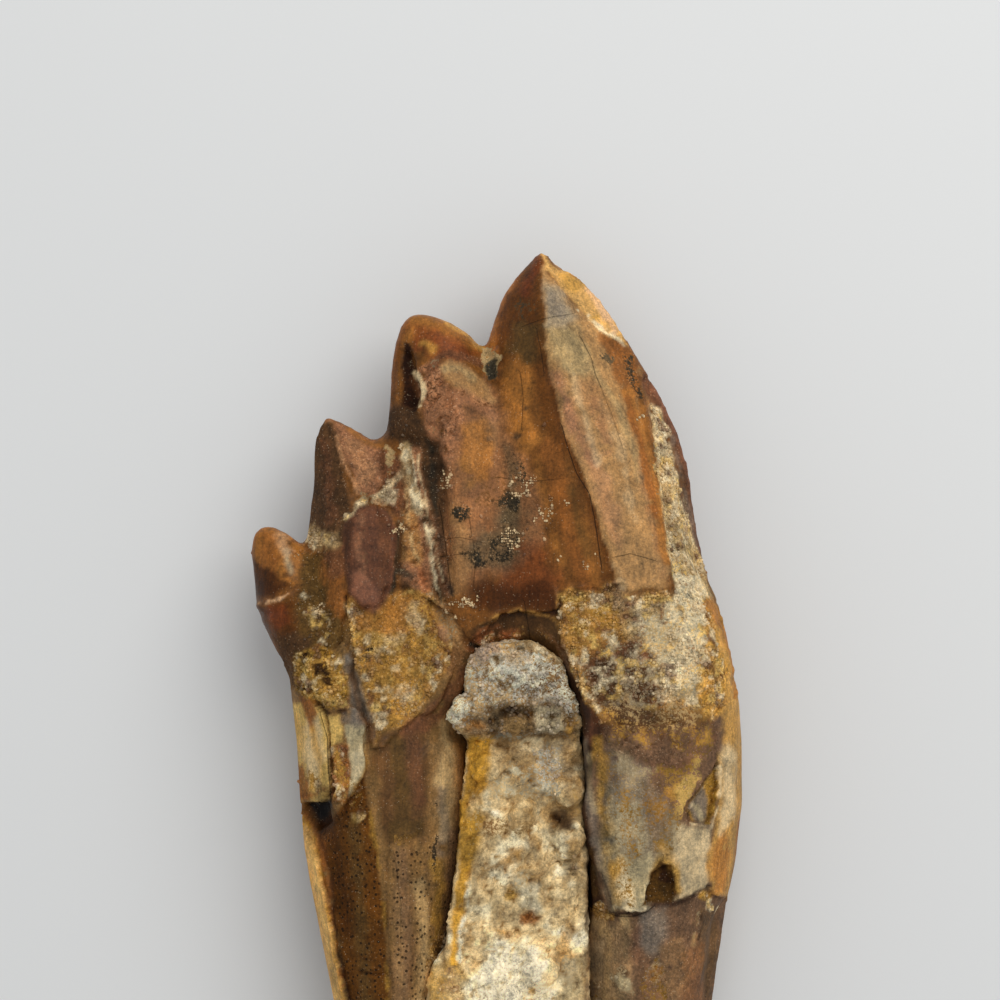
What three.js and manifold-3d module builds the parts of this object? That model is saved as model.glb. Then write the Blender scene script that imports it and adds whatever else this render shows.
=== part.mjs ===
// A fossil cheek tooth of an early whale, lying on its side: one grown tooth with a row of cusps and
// two roots, and the crystalline matrix that fills the fork between the roots.
// Millimetres. +X is towards the broken edge of the crown, +Y towards the tip of the main cusp, and +Z up,
// away from the surface that the tooth lies on. The origin is the centre of the box, at that surface.
import * as THREE from "three";
import { mergeVertices } from "three/addons/utils/BufferGeometryUtils.js";
import { ImprovedNoise } from "three/addons/math/ImprovedNoise.js";
import Module from "manifold-3d";

const wasm = await Module();
wasm.setup();

// Driving dimensions
const CROWN_TIP_Y = 52; // tip of the main cusp
const ROOT_TIP_Y = -52.6; // where the longer root's cement would end; its bare dentine tip ends at -52
const MID_Z = 9.3; // height of the middle of the tooth over the surface
const ENAMEL = 1.0; // thickness of the enamel and cement layers over the dentine
const CRUST_DEPTH = 0.45; // how far the sandy crusts lie below the enamel's surface
const MATRIX_GAP = 0.3; // clearance between the matrix and the walls of the root fork
const REST_TRIM_Z = 0; // the contact spots are worn flat at this height
const OVER = 40; // longer than any cut needs to be
const SEED = 11;

// A lobe is a stack of cross-sections. Each row is
// [y, left edge, right edge, height in front, depth behind, place of the crest from -1 to 1, sharpness].
const MAIN_LOBE = [
  [CROWN_TIP_Y, 4.0, 4.9, 0.5, 0.5, 0, 1],
  [50.9, 3.0, 6.0, 1.5, 1.4, -0.1, 1],
  [49.4, 1.7, 8.6, 2.6, 2.4, -0.16, 1],
  [47.6, 0.6, 10.2, 3.7, 3.3, -0.2, 1],
  [45, -0.4, 12.1, 4.8, 4.2, -0.12, 1],
  [42, -1.2, 13.8, 5.7, 5.2, -0.06, 0.9],
  [38, -3.0, 16.4, 6.8, 6.2, -0.04, 0.8],
  [34, -5.0, 18.3, 7.7, 7.0, 0.05, 0.7],
  [29, -7.4, 19.6, 8.5, 8.0, 0.2, 0.6],
  [24, -9.2, 20.3, 9.0, 8.9, 0.36, 0.5],
  [19, -10.2, 21.3, 9.3, 9.5, 0.44, 0.3],
  [14, -9.8, 23.2, 9.4, 9.6, 0.48, 0.15],
  [9, -4.7, 24.1, 9.5, 9.6, 0.4, 0],
  [3, 5.2, 24.6, 9.6, 9.6, 0.1, 0],
  [-3, 6.8, 24.6, 9.5, 9.6, 0, 0],
  [-9, 7.6, 23.9, 9.2, 9.6, 0, 0],
  [-15, 8.2, 22.7, 8.8, 9.5, 0, 0],
  [-23, 8.4, 21.6, 8.2, 9.0, 0, 0],
  [-32, 8.4, 19.8, 7.4, 8.2, 0, 0],
  [-41, 8.5, 18.1, 6.2, 6.9, 0, 0],
  [-47.5, 9.0, 16.2, 4.7, 5.3, 0, 0],
  [-50.8, 9.9, 14.7, 3.1, 3.5, 0, 0],
  [ROOT_TIP_Y, 11.0, 13.3, 1.5, 1.8, 0, 0],
];
const SECOND_CUSP = [
  [45.9, -8.4, -7.0, 0.7, 0.7, 0, 0],
  [45.2, -9.3, -4.8, 1.8, 1.7, 0, 0.2],
  [43.8, -10.0, -2.6, 2.9, 2.7, 0.1, 0.4],
  [41.5, -10.5, -1.0, 4.0, 3.7, 0.2, 0.5],
  [38, -10.9, 0.2, 5.2, 4.7, 0.25, 0.4],
  [34.5, -11.1, 1.2, 6.1, 5.6, 0.2, 0.2],
  [31, -10.2, 1.8, 6.8, 6.3, 0.1, 0.2],
  [26, -8.6, 2.6, 7.5, 7.2, 0, 0],
  [19, -7.8, 3, 8.0, 8.2, 0, 0],
  [12, -7.6, 2, 7.2, 7.8, 0, 0],
  [6, -6.8, 0, 3.0, 4.0, 0, 0],
];
const THIRD_CUSP = [
  [35.5, -17.2, -16.2, 0.5, 0.5, 0, 0.6],
  [34.6, -17.8, -14.4, 1.3, 1.2, -0.1, 0.8],
  [32.8, -18.2, -11.4, 2.4, 2.2, -0.2, 0.9],
  [29, -18.5, -9.1, 4.0, 3.5, -0.15, 0.8],
  [24, -18.9, -9.1, 5.4, 4.8, 0, 0.5],
  [17, -19.2, -8.2, 6.5, 6.1, 0, 0.2],
  [10, -18.7, -7.4, 6.2, 6.2, 0, 0],
  [4, -17.6, -8.4, 3.0, 3.4, 0, 0],
];
// The body of the crown, which floors the valleys between the cusps.
const CROWN_BODY = [
  [35.4, -8, 2, 1.2, 1.2, 0, 0],
  [33.2, -12.6, 5, 2.9, 2.9, 0, 0],
  [29, -16.8, 9, 4.4, 4.4, 0, 0],
  [22, -18.6, 13, 6.0, 6.2, 0, 0],
  [14, -19.3, 14, 6.6, 7.2, 0, 0],
  [7, -19, 11, 6.2, 7.0, 0, 0],
  [2, -17, 4, 3.0, 4.0, 0, 0],
];
const FOURTH_CUSP = [
  [24.7, -23.4, -22.3, 0.6, 0.6, 0, 0.3],
  [23.9, -24.3, -20.7, 1.6, 1.5, 0, 0.4],
  [22.2, -24.5, -18.6, 2.6, 2.4, 0.1, 0.5],
  [19, -24.3, -16.8, 3.7, 3.4, 0.1, 0.3],
  [16, -23.9, -15.6, 4.5, 4.2, 0, 0],
  [13, -22.4, -14.4, 5.2, 4.9, 0, 0],
  [9, -20.7, -12, 5.8, 5.6, 0, 0],
  [3, -20.1, -11, 5.0, 5.0, 0, 0],
  [-1, -19.0, -13, 2.6, 2.6, 0, 0],
];
const LEFT_ROOT = [
  [23.5, -14.6, -9.4, 3.4, 3.4, 0, 0],
  [20, -16.6, -6.8, 5.2, 5.2, 0, 0],
  [15, -18.9, -4.2, 6.8, 7.0, 0, 0],
  [9, -20.2, -2.6, 7.7, 8.4, 0, 0],
  [2, -20.1, -1.6, 8.1, 9.3, 0, 0],
  [-6, -19.4, -1.9, 8.0, 9.6, 0, 0],
  [-12, -18.4, -2.9, 7.8, 9.6, 0, 0],
  [-18, -17.2, -3.9, 7.5, 9.4, 0, 0],
  [-24, -16.0, -4.6, 7.0, 8.8, 0, 0],
  [-32, -14.5, -4.3, 6.1, 7.8, 0, 0],
  [-40, -13.0, -3.8, 5.0, 6.5, 0, 0],
  [-45.5, -11.9, -4.0, 3.8, 5.0, 0, 0],
  [-48.6, -10.8, -5.0, 2.5, 3.4, 0, 0],
  [-49.8, -9.5, -6.5, 1.2, 1.6, 0, 0],
];

// Outlines, as seen from above, of what lies over the dentine.
const ENAMEL_FRONT = [
  [5.2, 54], [5.6, 50.4], [6.0, 48.8], [7.1, 47.0], [8.9, 45.1], [10.7, 44.1], [12.6, 43.4], [15, 43],
  [15.4, 40], [14.6, 39.2], [15.0, 36.5], [15.7, 33.2], [16.1, 29.7], [16.6, 26.2], [17.1, 23.1],
  [17.5, 20.2], [17.0, 19.0], [15.4, 18.4], [13.1, 17.8], [12.3, 19.0], [10.4, 18.5], [6.2, 18.2],
  [6.0, 16.2], [2.6, 16.4], [0.2, 15.8], [-2.4, 13.6], [-4.6, 16.4], [-7.1, 17.6], [-10.1, 18.8],
  [-11.2, 18.0], [-11.8, 16.4], [-13.4, 16.5], [-14.9, 18.2], [-15.2, 15.3], [-16.1, 12.3],
  [-19.6, 11.6], [-27, 12], [-27, 54],
];
const ENAMEL_BACK = [
  [-27, 54], [30, 54], [30, 18.2], [19, 16.7], [14, 15.6], [9, 17.2], [3, 16.2], [-2, 13.4], [-8, 15.6],
  [-13, 14.4], [-18, 12.2], [-27, 12.6],
];
const RIGHT_CRUST = [
  [6.2, 18.5], [10.4, 18.8], [12.3, 19.3], [13.2, 18.1], [15.4, 18.7], [17, 19.3], [17.5, 20.4], [17.4, 23],
  [18.4, 24], [19.8, 20], [21.6, 18.0], [30, 18.0], [30, 12], [22.6, 7], [20.2, 4.4], [17, 5.2], [14, 3.6],
  [10.6, 4.8], [8.8, 8.4], [7.6, 11], [6.2, 14],
];
const LEFT_CRUST = [
  [-14.9, 18.4], [-13.4, 16.8], [-11.8, 16.7], [-11.2, 18.2], [-10.1, 19.1], [-7.1, 17.9], [-5.6, 13.4],
  [-4.1, 10.8], [-5.9, 6.8], [-9.6, 4.5], [-11.2, 2.9], [-12.3, 3.0], [-13.1, 7.3], [-14.1, 11.3],
];
const NODULE_CRUST = [
  [-27, 12.1], [-19.6, 11.8], [-16.1, 12.5], [-15.3, 13.4], [-14.3, 11.0], [-14.6, 7.9], [-16.6, 7.2],
  [-18.2, 8.8], [-27, 9.2],
];
const RIGHT_PLATE = [
  [8.2, 9.4], [8.5, 3], [8.8, -2], [9.6, -6.3], [10.6, -9.5], [11.9, -13.5], [14.7, -13.0],
  [15.0, -10.7], [15.4, -9.3], [16.4, -8.4], [17.1, -8.9], [17.5, -10.7], [17.9, -12.1], [19.4, -11.5],
  [20.9, -10.7], [22.0, -12.4], [30, -12.4], [30, 12.2], [22.8, 7.1], [20.2, 4.6], [16, 5.2], [12, 5],
];
const PLATE_CHIP = [[22.1, 1.4], [18.8, -3.3], [19.0, -4.3], [21.2, -4.6], [22.1, 0.1]];
const LEFT_PLATE = [
  [-27, 9.0], [-18.4, 8.6], [-17.2, 6.4], [-16.5, 2.4], [-16.2, -1], [-16.9, -2.6], [-18.5, -3.2], [-27, -3],
];
const LEFT_FLAKE = [
  [-17.0, 7.0], [-15.2, 8.0], [-12.9, 5.4], [-13.1, 3.2], [-13.3, 0.2], [-14.0, -2.0], [-15.2, -3.7],
  [-16.1, -3.2], [-16.0, -1], [-16.3, 2.4],
];
const LEFT_RIM = [
  [-27, -6.2], [-18.6, -6.0], [-17.6, -9], [-16.7, -13], [-15.9, -18], [-14.8, -24], [-13.8, -29],
  [-15, -33.4], [-27, -34],
];
const CEMENT_BACK = [
  [-27, 12.3], [-18, 11.9], [-13, 14.1], [-8, 15.3], [-2, 13.1], [3, 15.9], [9, 16.9], [14, 15.3], [19, 16.4],
  [30, 17.9], [30, -30], [19, -33], [16, -31], [12, -36], [6, -38], [2, -30], [-5, -27], [-9, -31],
  [-14, -33], [-27, -34],
];
// Outline of the matrix between the roots.
const MATRIX_OUTLINE = [
  [-2.7, 9.5], [-2.4, 11.2], [-1.4, 12.5], [0.6, 12.9], [3.4, 13.0], [5.0, 12.2], [6.2, 11.4],
  [6.8, 9.3], [7.6, 7.3], [8.2, 5.6], [8.0, 3.8], [8.4, 1.3], [8.5, -2.7], [8.8, -7.7], [8.7, -12.7],
  [8.9, -17], [8.9, -22.7], [8.7, -29], [9.0, -35], [8.8, -41], [7.8, -44.6], [5.6, -46.6], [3.2, -46.0],
  [0.8, -47.6], [-1.8, -46.9], [-3.6, -44.4], [-4.6, -40.4], [-5.2, -34], [-6.2, -28], [-6.8, -24], [-6.5, -20.4],
  [-5.9, -18.6], [-4.7, -17.0], [-4.5, -14.7], [-3.6, -9.1], [-3.2, -2.7], [-2.7, 1], [-2.5, 3.5], [-3.4, 4.7],
  [-4.4, 5.9], [-3.9, 7.1], [-2.8, 8.0],
];
// [y, left, right, height in front, depth behind, crest, sharpness], as for the lobes.
const MATRIX_BODY = [
  [14, -6, 12, 8.0, 7.6, 0, 0],
  [11, -8, 13, 9.0, 8.2, 0, 0],
  [7, -9, 13, 8.9, 8.2, 0, 0],
  [5, -9, 13, 8.7, 8.2, 0, 0],
  [3.6, -10, 14, 6.5, 8, 0, 0],
  [-4, -11, 15, 6.9, 7.6, 0, 0],
  [-14, -12, 16, 7.0, 7.2, 0, 0],
  [-24, -13, 16, 6.6, 6.8, 0, 0],
  [-34, -12, 15, 5.8, 6.0, 0, 0],
  [-41, -10, 13, 4.7, 4.9, 0, 0],
  [-45, -7, 10, 3.3, 3.5, 0, 0],
  [-47.8, -3, 7, 1.3, 1.5, 0, 0],
];

// Crust nodules, [x, y, z, size], and hollows, [[place], [radii], turn].
const NODULES = [
  [-18.0, 10.6, 13.2, 1.2], [-16.6, 8.9, 14.4, 1.5], [-15.2, 10.9, 14.8, 1.2], [-17.6, 7.2, 13.8, 1.1],
  [-14.8, 7.9, 15.2, 0.9], [20.4, -12.0, 13.2, 1.0], [21.5, -13.1, 12.0, 0.9], [12.6, -20.3, 16.2, 0.9],
  [10.2, 15.4, 17.5, 0.9], [13.2, 9.4, 17.9, 1.1], [17.8, 14.4, 17.2, 1.2], [16.4, 8.2, 17.8, 0.9],
  [20.2, 10.2, 15.8, 1.1], [9.0, 11.6, 16.7, 0.8], [-8.4, 14.2, 15.6, 0.9], [-12.2, 9.4, 15.6, 0.8],
];
const HOLLOWS = [
  [[-8.7, 39.2, 13.6], [1.0, 3.3, 1.5], 0],
  [[-17.7, -4.2, 13.6], [1.2, 1.7, 3.2], 0],
  [[-14.6, -1.4, 17.0], [0.8, 1.9, 1.2], 0.2],
];

const noise = new ImprovedNoise();

// A small seeded random source, so that every build is the same.
function seeded(seed) {
  let state = seed;
  return () => {
    state = (state * 1664525 + 1013904223) % 4294967296;
    return state / 4294967296;
  };
}

function solidOf(geometry) {
  const bare = geometry.clone();
  bare.deleteAttribute("normal");
  bare.deleteAttribute("uv");
  const merged = mergeVertices(bare, 1e-4);
  return new wasm.Manifold(
    new wasm.Mesh({
      numProp: 3,
      vertProperties: merged.attributes.position.array,
      triVerts: new Uint32Array(merged.index.array),
    }),
  );
}

function geometryOf(solid) {
  const mesh = solid.getMesh();
  const positions = new Float32Array(mesh.numVert * 3);
  for (let i = 0; i < mesh.numVert; i++) {
    positions.set(mesh.vertProperties.subarray(i * mesh.numProp, i * mesh.numProp + 3), i * 3);
  }
  const geometry = new THREE.BufferGeometry();
  geometry.setAttribute("position", new THREE.BufferAttribute(positions, 3));
  geometry.setIndex(new THREE.BufferAttribute(new Uint32Array(mesh.triVerts), 1));
  const flat = geometry.toNonIndexed();
  flat.computeVertexNormals();
  return flat;
}

// A closed body through a stack of cross-sections, grown outwards all round by `grow`.
function lobe(rows, { grow = 0, sides = 26, ringsPerRow = 1, rough = 0.25, roughLength = 4 } = {}) {
  const edges = new THREE.CatmullRomCurve3(rows.map(([y, left, right]) => new THREE.Vector3(y, left, right)));
  const depths = new THREE.CatmullRomCurve3(rows.map(([, , , f, b]) => new THREE.Vector3(f, b, 0)));
  const forms = new THREE.CatmullRomCurve3(rows.map(([, , , , , c, s]) => new THREE.Vector3(c, s, 0)));
  for (const curve of [edges, depths, forms]) {
    curve.curveType = "catmullrom";
    curve.tension = 0.5;
  }
  const rings = (rows.length - 1) * ringsPerRow;
  const geometry = new THREE.CylinderGeometry(1, 1, 1, sides, rings);
  const place = geometry.attributes.position;
  const point = new THREE.Vector3();
  for (let i = 0; i < place.count; i++) {
    point.fromBufferAttribute(place, i);
    const along = THREE.MathUtils.clamp(0.5 - point.y, 0, 1);
    const reach = Math.hypot(point.x, point.z);
    const across = reach > 0 ? point.x / reach : 0;
    const inFront = point.z > 0;
    const [y, left, right] = edges.getPoint(along).toArray();
    const [front, back] = depths.getPoint(along).toArray();
    const [crest, sharpness] = forms.getPoint(along).toArray();
    const half = Math.max((right - left) / 2 + grow, 0.12);
    const shift = inFront ? crest * (1 - across * across) : 0;
    const x = (left + right) / 2 + (across + shift) * half * reach;
    const bend = inFront ? 2 - 0.8 * sharpness : 2;
    const fall = inFront ? 0.52 + 0.38 * sharpness : 0.55;
    const lift = Math.max((inFront ? front : back) + grow, 0.12) * (1 - Math.min(Math.abs(across), 1) ** bend) ** fall;
    const z = MID_Z + (inFront ? lift : -lift) * reach;
    const end = along < 1e-6 ? grow * 0.6 : along > 1 - 1e-6 ? -grow * 0.6 : 0;
    const at = [x / roughLength, y / roughLength, z / roughLength];
    const wave = rough * reach;
    place.setXYZ(
      i,
      x + wave * noise.noise(at[0] + 7.3, at[1], at[2]),
      y + end,
      z + wave * noise.noise(at[0], at[1] + 3.1, at[2]),
    );
  }
  return solidOf(geometry);
}

// A straight prism over an outline in the XY plane.
function prism(points, from, to) {
  const shape = new THREE.Shape(points.map(([x, y]) => new THREE.Vector2(x, y)));
  const geometry = new THREE.ExtrudeGeometry(shape, { depth: to - from, bevelEnabled: false });
  return solidOf(geometry.translate(0, 0, from));
}

// The outline moved outwards by `distance`, with mitred corners.
function outset(points, distance) {
  const turn = THREE.ShapeUtils.isClockWise(points.map(([x, y]) => new THREE.Vector2(x, y))) ? 1 : -1;
  const normal = ([ax, ay], [bx, by]) => new THREE.Vector2(ay - by, bx - ax).normalize().multiplyScalar(turn);
  return points.map(([x, y], i) => {
    const before = normal(points.at(i - 1), [x, y]);
    const after = normal([x, y], points[(i + 1) % points.length]);
    const mitre = before.clone().add(after).multiplyScalar(distance / (1 + before.dot(after)));
    return [x + mitre.x, y + mitre.y];
  });
}

// A many-faced lump, such as a crystal or a nodule of crust.
function lump(x, y, z, size, random) {
  const geometry = new THREE.IcosahedronGeometry(size, 0);
  geometry.scale(0.8 + 0.5 * random(), 0.8 + 0.5 * random(), 0.6 + 0.4 * random());
  geometry.rotateX(Math.PI * random()).rotateZ(Math.PI * random());
  return solidOf(geometry.translate(x, y, z));
}

function ellipsoid([x, y, z], [rx, ry, rz], turn = 0) {
  const geometry = new THREE.SphereGeometry(1, 14, 10);
  return solidOf(geometry.scale(rx, ry, rz).rotateZ(turn).translate(x, y, z));
}

const joined = (solids) => solids.reduce((whole, solid) => whole.add(solid));
const largest = (solid) => solid.decompose().sort((a, b) => b.volume() - a.volume())[0];

// Every lobe of the tooth joined, at a level above or below the outer surface.
function toothAt(grow, surface = {}) {
  return joined([
    lobe(MAIN_LOBE, { grow, sides: 28, ...surface }),
    lobe(SECOND_CUSP, { grow, sides: 24, ...surface }),
    lobe(THIRD_CUSP, { grow, sides: 20, ...surface }),
    lobe(FOURTH_CUSP, { grow, sides: 16, ...surface }),
    lobe(LEFT_ROOT, { grow, sides: 24, ...surface }),
    lobe(CROWN_BODY, { grow, sides: 20, ...surface }),
  ]);
}

function toothSolid() {
  const random = seeded(SEED);
  const outer = toothAt(0);
  const dentine = toothAt(-ENAMEL);
  const crustLevel = toothAt(-CRUST_DEPTH, { rough: 0.5, roughLength: 1.7, ringsPerRow: 2, sides: 28 });
  const front = (outline) => prism(outline, MID_Z - 0.5, OVER);
  const back = (outline) => prism(outline, -OVER, MID_Z);
  const layers = [
    outer.intersect(front(ENAMEL_FRONT)),
    outer.intersect(back(ENAMEL_BACK)),
    crustLevel.intersect(front(RIGHT_CRUST)),
    crustLevel.intersect(front(LEFT_CRUST)),
    crustLevel.intersect(front(NODULE_CRUST)),
    outer.intersect(front(RIGHT_PLATE).subtract(front(PLATE_CHIP))),
    outer.intersect(front(LEFT_PLATE)),
    outer.intersect(front(LEFT_FLAKE)),
    outer.intersect(front(LEFT_RIM)),
    outer.intersect(back(CEMENT_BACK)),
  ];
  const nodules = NODULES.map(([x, y, z, size]) => lump(x, y, z, size, random));
  const hollows = HOLLOWS.map(([at, radii, turn]) => ellipsoid(at, radii, turn));
  const fork = prism(outset(MATRIX_OUTLINE, MATRIX_GAP), -OVER, OVER);
  const table = prism([[-OVER, -2 * OVER], [OVER, -2 * OVER], [OVER, 2 * OVER], [-OVER, 2 * OVER]], -OVER, REST_TRIM_Z);
  return joined([dentine, ...layers]).subtract(joined(hollows)).add(joined(nodules)).subtract(fork).subtract(table);
}

function matrixSolid() {
  const random = seeded(SEED);
  const body = lobe(MATRIX_BODY, { sides: 24, ringsPerRow: 2, rough: 1.4, roughLength: 3 });
  const lumps = [];
  for (let y = 12; y > -46; y -= 2.3) {
    for (const side of [1, -1]) {
      const x = THREE.MathUtils.lerp(-4, 8, random());
      const thick = side > 0 ? 8.3 : 7.2;
      const depth = (y > 4.5 ? thick : 6.4) - 0.02 * Math.max(0, -24 - y) ** 1.6;
      lumps.push(lump(x, y + random(), MID_Z + side * depth, 0.8 + 1.5 * random() ** 2, random));
    }
  }
  return joined([body, ...lumps]).intersect(prism(MATRIX_OUTLINE, 0.4, OVER));
}

function piece(name, solid, colour, roughness) {
  const material = new THREE.MeshStandardMaterial({ color: colour, roughness, metalness: 0 });
  const mesh = new THREE.Mesh(geometryOf(solid), material);
  mesh.name = name;
  return mesh;
}

const fossil = new THREE.Group();
fossil.add(piece("tooth", largest(toothSolid()), 0x8a5a2c, 0.45));
fossil.add(piece("matrix", largest(matrixSolid()), 0xc9b78f, 0.9));
const middle = new THREE.Box3().setFromObject(fossil).getCenter(new THREE.Vector3());
for (const mesh of fossil.children) {
  mesh.geometry.translate(-middle.x, -middle.y, 0);
}

export default fossil;
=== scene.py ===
"""A fossil cheek tooth of an early whale, with the crystalline matrix between its roots.

The packed solids give the size and the main forms. Each visible piece starts from its own solid, is
remeshed finely, and is then sculpted and painted with strokes laid out on a flat chart of the tooth.
Lengths in the tables are millimetres; the scene itself is in metres.
"""
import math
from collections import namedtuple

import bmesh
import bpy
import numpy as np
from bpy.props import FloatProperty, FloatVectorProperty, IntProperty, PointerProperty
from mathutils import Euler, Matrix, Vector


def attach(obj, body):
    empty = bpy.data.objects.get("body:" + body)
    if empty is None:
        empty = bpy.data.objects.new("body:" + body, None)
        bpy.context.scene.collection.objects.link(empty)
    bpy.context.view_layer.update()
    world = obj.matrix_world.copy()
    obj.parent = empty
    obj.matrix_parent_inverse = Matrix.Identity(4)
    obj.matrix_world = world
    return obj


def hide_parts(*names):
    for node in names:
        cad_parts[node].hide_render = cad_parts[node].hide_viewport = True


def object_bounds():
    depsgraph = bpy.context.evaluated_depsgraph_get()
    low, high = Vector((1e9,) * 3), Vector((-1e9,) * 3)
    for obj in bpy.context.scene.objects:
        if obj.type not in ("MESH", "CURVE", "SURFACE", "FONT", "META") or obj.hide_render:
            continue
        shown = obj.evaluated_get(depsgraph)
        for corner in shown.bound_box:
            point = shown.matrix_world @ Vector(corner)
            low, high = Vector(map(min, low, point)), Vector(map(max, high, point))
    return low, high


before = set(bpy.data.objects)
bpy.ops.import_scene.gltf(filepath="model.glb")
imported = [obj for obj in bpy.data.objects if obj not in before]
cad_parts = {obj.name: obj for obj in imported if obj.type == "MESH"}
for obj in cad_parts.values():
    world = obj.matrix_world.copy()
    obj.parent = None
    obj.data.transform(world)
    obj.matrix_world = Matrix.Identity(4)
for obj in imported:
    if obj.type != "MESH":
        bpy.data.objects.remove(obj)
cad_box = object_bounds()

bl_info = {
    "name": "Fossil Whale Tooth",
    "version": (1, 0, 0),
    "blender": (4, 5, 0),
    "location": "3D View > Sidebar > Fossil",
    "description": "Sculpts and paints a fossil whale tooth round its packed solids",
    "category": "Add Mesh",
}

MM = 0.001
BODY = "root"
MIDDLE = (cad_box[0].z + cad_box[1].z) / 2 / MM - 0.2  # height of the tooth's widest outline
FOCUS = Vector((0.0004, 0.0273, MIDDLE * MM))  # what the camera looks at
LENS_LENGTH = 200  # a long lens, so that the view hardly narrows with depth
SENSOR_WIDTH = 36
KEY_COLOUR = (1.0, 0.985, 0.96)

REFINED_FROM = -22  # the front of the tooth gets finer faces from here upwards
MATRIX_FLOOR = 0.3  # lowest point of the matrix
FAR = 9.0  # stands for any distance too great to matter
FLECKED = 0.3  # a stroke at least this patchy goes on as flecks
FULL_CRACK = 0.07  # half the width of a crack at full strength
GRAIN_SHAPES = 10  # number of different grains of sand

HOLLOW_TAKES = (0.65, 0.82, 1.0)  # how much red, green and blue the hollows lose
CREAM_LIMIT = (0.95, 0.83, 0.62)  # the brightest colour of the matrix
CRACK_COLOUR = (0.012, 0.007, 0.003, 1)
# pale specks painted into the colour: partly pale grains, partly painted glints of small crystals
GLINT_COLOUR = (0.7, 0.55, 0.36, 1)
COOL_TOOTH = (0.93, 0.99, 1.06, 1)  # colours are multiplied by something between a cool and a warm one
WARM_TOOTH = (1.1, 1, 0.84, 1)
COOL_MATRIX = (0.96, 0.98, 0.98, 1)
WARM_MATRIX = (1.04, 1, 0.84, 1)

# How many waves or cells of each pattern in the stone go into a millimetre
PER_MM = {"broad": 0.45, "fine": 3.2, "streaks": 2.6, "pebbles": 3.4, "dust": 7.5, "spots": 2.2}

# The chart is a flat sheet ruled in tenths of a millimetre, x to the right and y down from its corner.
# It lies over the front of the tooth, and this is its point over the frame's origin.
CHART_ORIGIN = (496, 773)
CHART_STEP = 0.1

# name: (what it colours, colour on screen)
COLOURS = {
    "enamel_brown": ("Enamel between the streaks", "72481f"),
    "enamel_dark": ("Dark glossy enamel", "5c340f"),
    "enamel_black": ("Darkest glossy enamel", "3e1f08"),
    "enamel_red": ("Red brown enamel near the tips", "74381a"),
    "enamel_orange": ("Amber enamel", "a0682e"),
    "enamel_olive": ("Olive brown enamel", "5a4220"),
    "enamel_tan": ("Pale tan enamel", "936440"),
    "facet_tan": ("Worn facet", "a67e50"),
    "facet_grey": ("Grey top of the worn facet", "9c8a70"),
    "facet_olive": ("Olive part of the worn facet", "a08960"),
    "facet_pink": ("Pinkish streak of the worn facet", "a87a54"),
    "chip_amber": ("Broken tip, amber", "d6a662"),
    "chip_pale": ("Broken tip, pale", "caa27c"),
    "chip_gold": ("Golden crust", "c49344"),
    "chip_ochre": ("Chip in the root plate", "9a7430"),
    "ivory": ("Ivory cement", "cdb68e"),
    "white": ("White crust", "e2d0aa"),
    "sand_grey": ("Grey sand", "b89c6e"),
    "mauve": ("Mauve enamel of the small cusps", "98694a"),
    "plum_brown": ("Brown blotches on the crusts", "69432c"),
    "plum": ("Smooth plum lobe", "5f3b28"),
    "plum_pale": ("Highlight of the plum lobe", "855742"),
    # Painted shade, in a dark plum, in grooves and under edges
    "plum_dark": ("Groove beside the root plate", "382418"),
    "umber": ("Rough dark dentine", "4c3521"),
    # Painted shade inside hollows
    "cavity": ("Inside of hollows", "2c1609"),
    # Painted black shadow in the hollow under the left plate's step
    "hole": ("Black hollow", "0a0402"),
    "notch": ("Floor of the notch", "4c3312"),
    "stain_black": ("Mineral stains", "2b2820"),
    "stain_grey": ("Grey stains", "5c4e38"),
    "blue_grey": ("Blue grey rims", "776c60"),
    "brick": ("Brick red dentine", "a4623a"),
    "ochre": ("Ochre crust", "a67a3e"),
    "rust": ("Rust brown", "8e5626"),
    "root_brown": ("Root, brown", "5e4024"),
    "root_mauve": ("Root, mauve brown", "70543e"),
    "root_olive": ("Root, olive", "5c4320"),
    "root_tan": ("Root, tan", "84633a"),
    "root_pale": ("Root, pale", "8e6e46"),
    "dot_brown": ("Root with black dots", "5c370e"),
    "plate_grey": ("Root plate, grey", "8b7c60"),
    "plate_cream": ("Root plate, cream", "d2ae64"),
    "pearl": ("Root plate, pearly", "b0a07c"),
    "rim_gold": ("Golden rim of the left root", "c28e34"),
    "edge_gold": ("Golden edge of the right root", "b88c4a"),
    "arch_olive": ("Arch over the matrix", "493119"),
    "frost": ("Matrix, frosted", "e4dfd2"),
    "chalk": ("Matrix, white", "f4e6c4"),
    "quartz": ("Clear grey crystals", "bdb095"),
    "spar_cream": ("Matrix, cream", "cfb488"),
    "spar_grey": ("Matrix, grey", "b2a387"),
    "spar_tan": ("Matrix, tan", "9a7b50"),
    "strip_yellow": ("Yellow strip along the matrix", "c49032"),
}

# name: (polish, grit, dots), each from 0 to 1
FINISHES = {
    "gloss": (1.0, 0.06, 0.0),
    "satin": (0.6, 0.25, 0.0),
    "dotted": (0.45, 0.4, 1.0),
    "rough": (0.2, 0.65, 0.1),
    "sandy": (0.0, 1.0, 0.0),
    "grainy": (0.1, 1.0, 0.0),
    "spar": (0.6, 0.45, 0.0),
    "powder": (0, 0.55, 0),
}

Stroke = namedtuple("Stroke", "colour finish strength soft patchy width points")
Relief = namedtuple("Relief", "height soft patchy width points")


def pairs(numbers):
    """Numbers taken two by two, as points."""
    return list(zip(numbers[::2], numbers[1::2]))


def area(colour, finish, strength, soft, patchy, *places):
    """Paint inside an outline on the chart. `strength` is how well it covers and `patchy` how much it is
    broken up, both from 0 to 1, and `soft` is the width of its border in millimetres."""
    return Stroke(colour, finish, strength, soft, patchy, 0, pairs(places))


def line(colour, finish, strength, soft, patchy, width, *places):
    """Paint as far as `width` millimetres from a line, or from a single point."""
    return Stroke(colour, finish, strength, soft, patchy, width, pairs(places))


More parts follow.
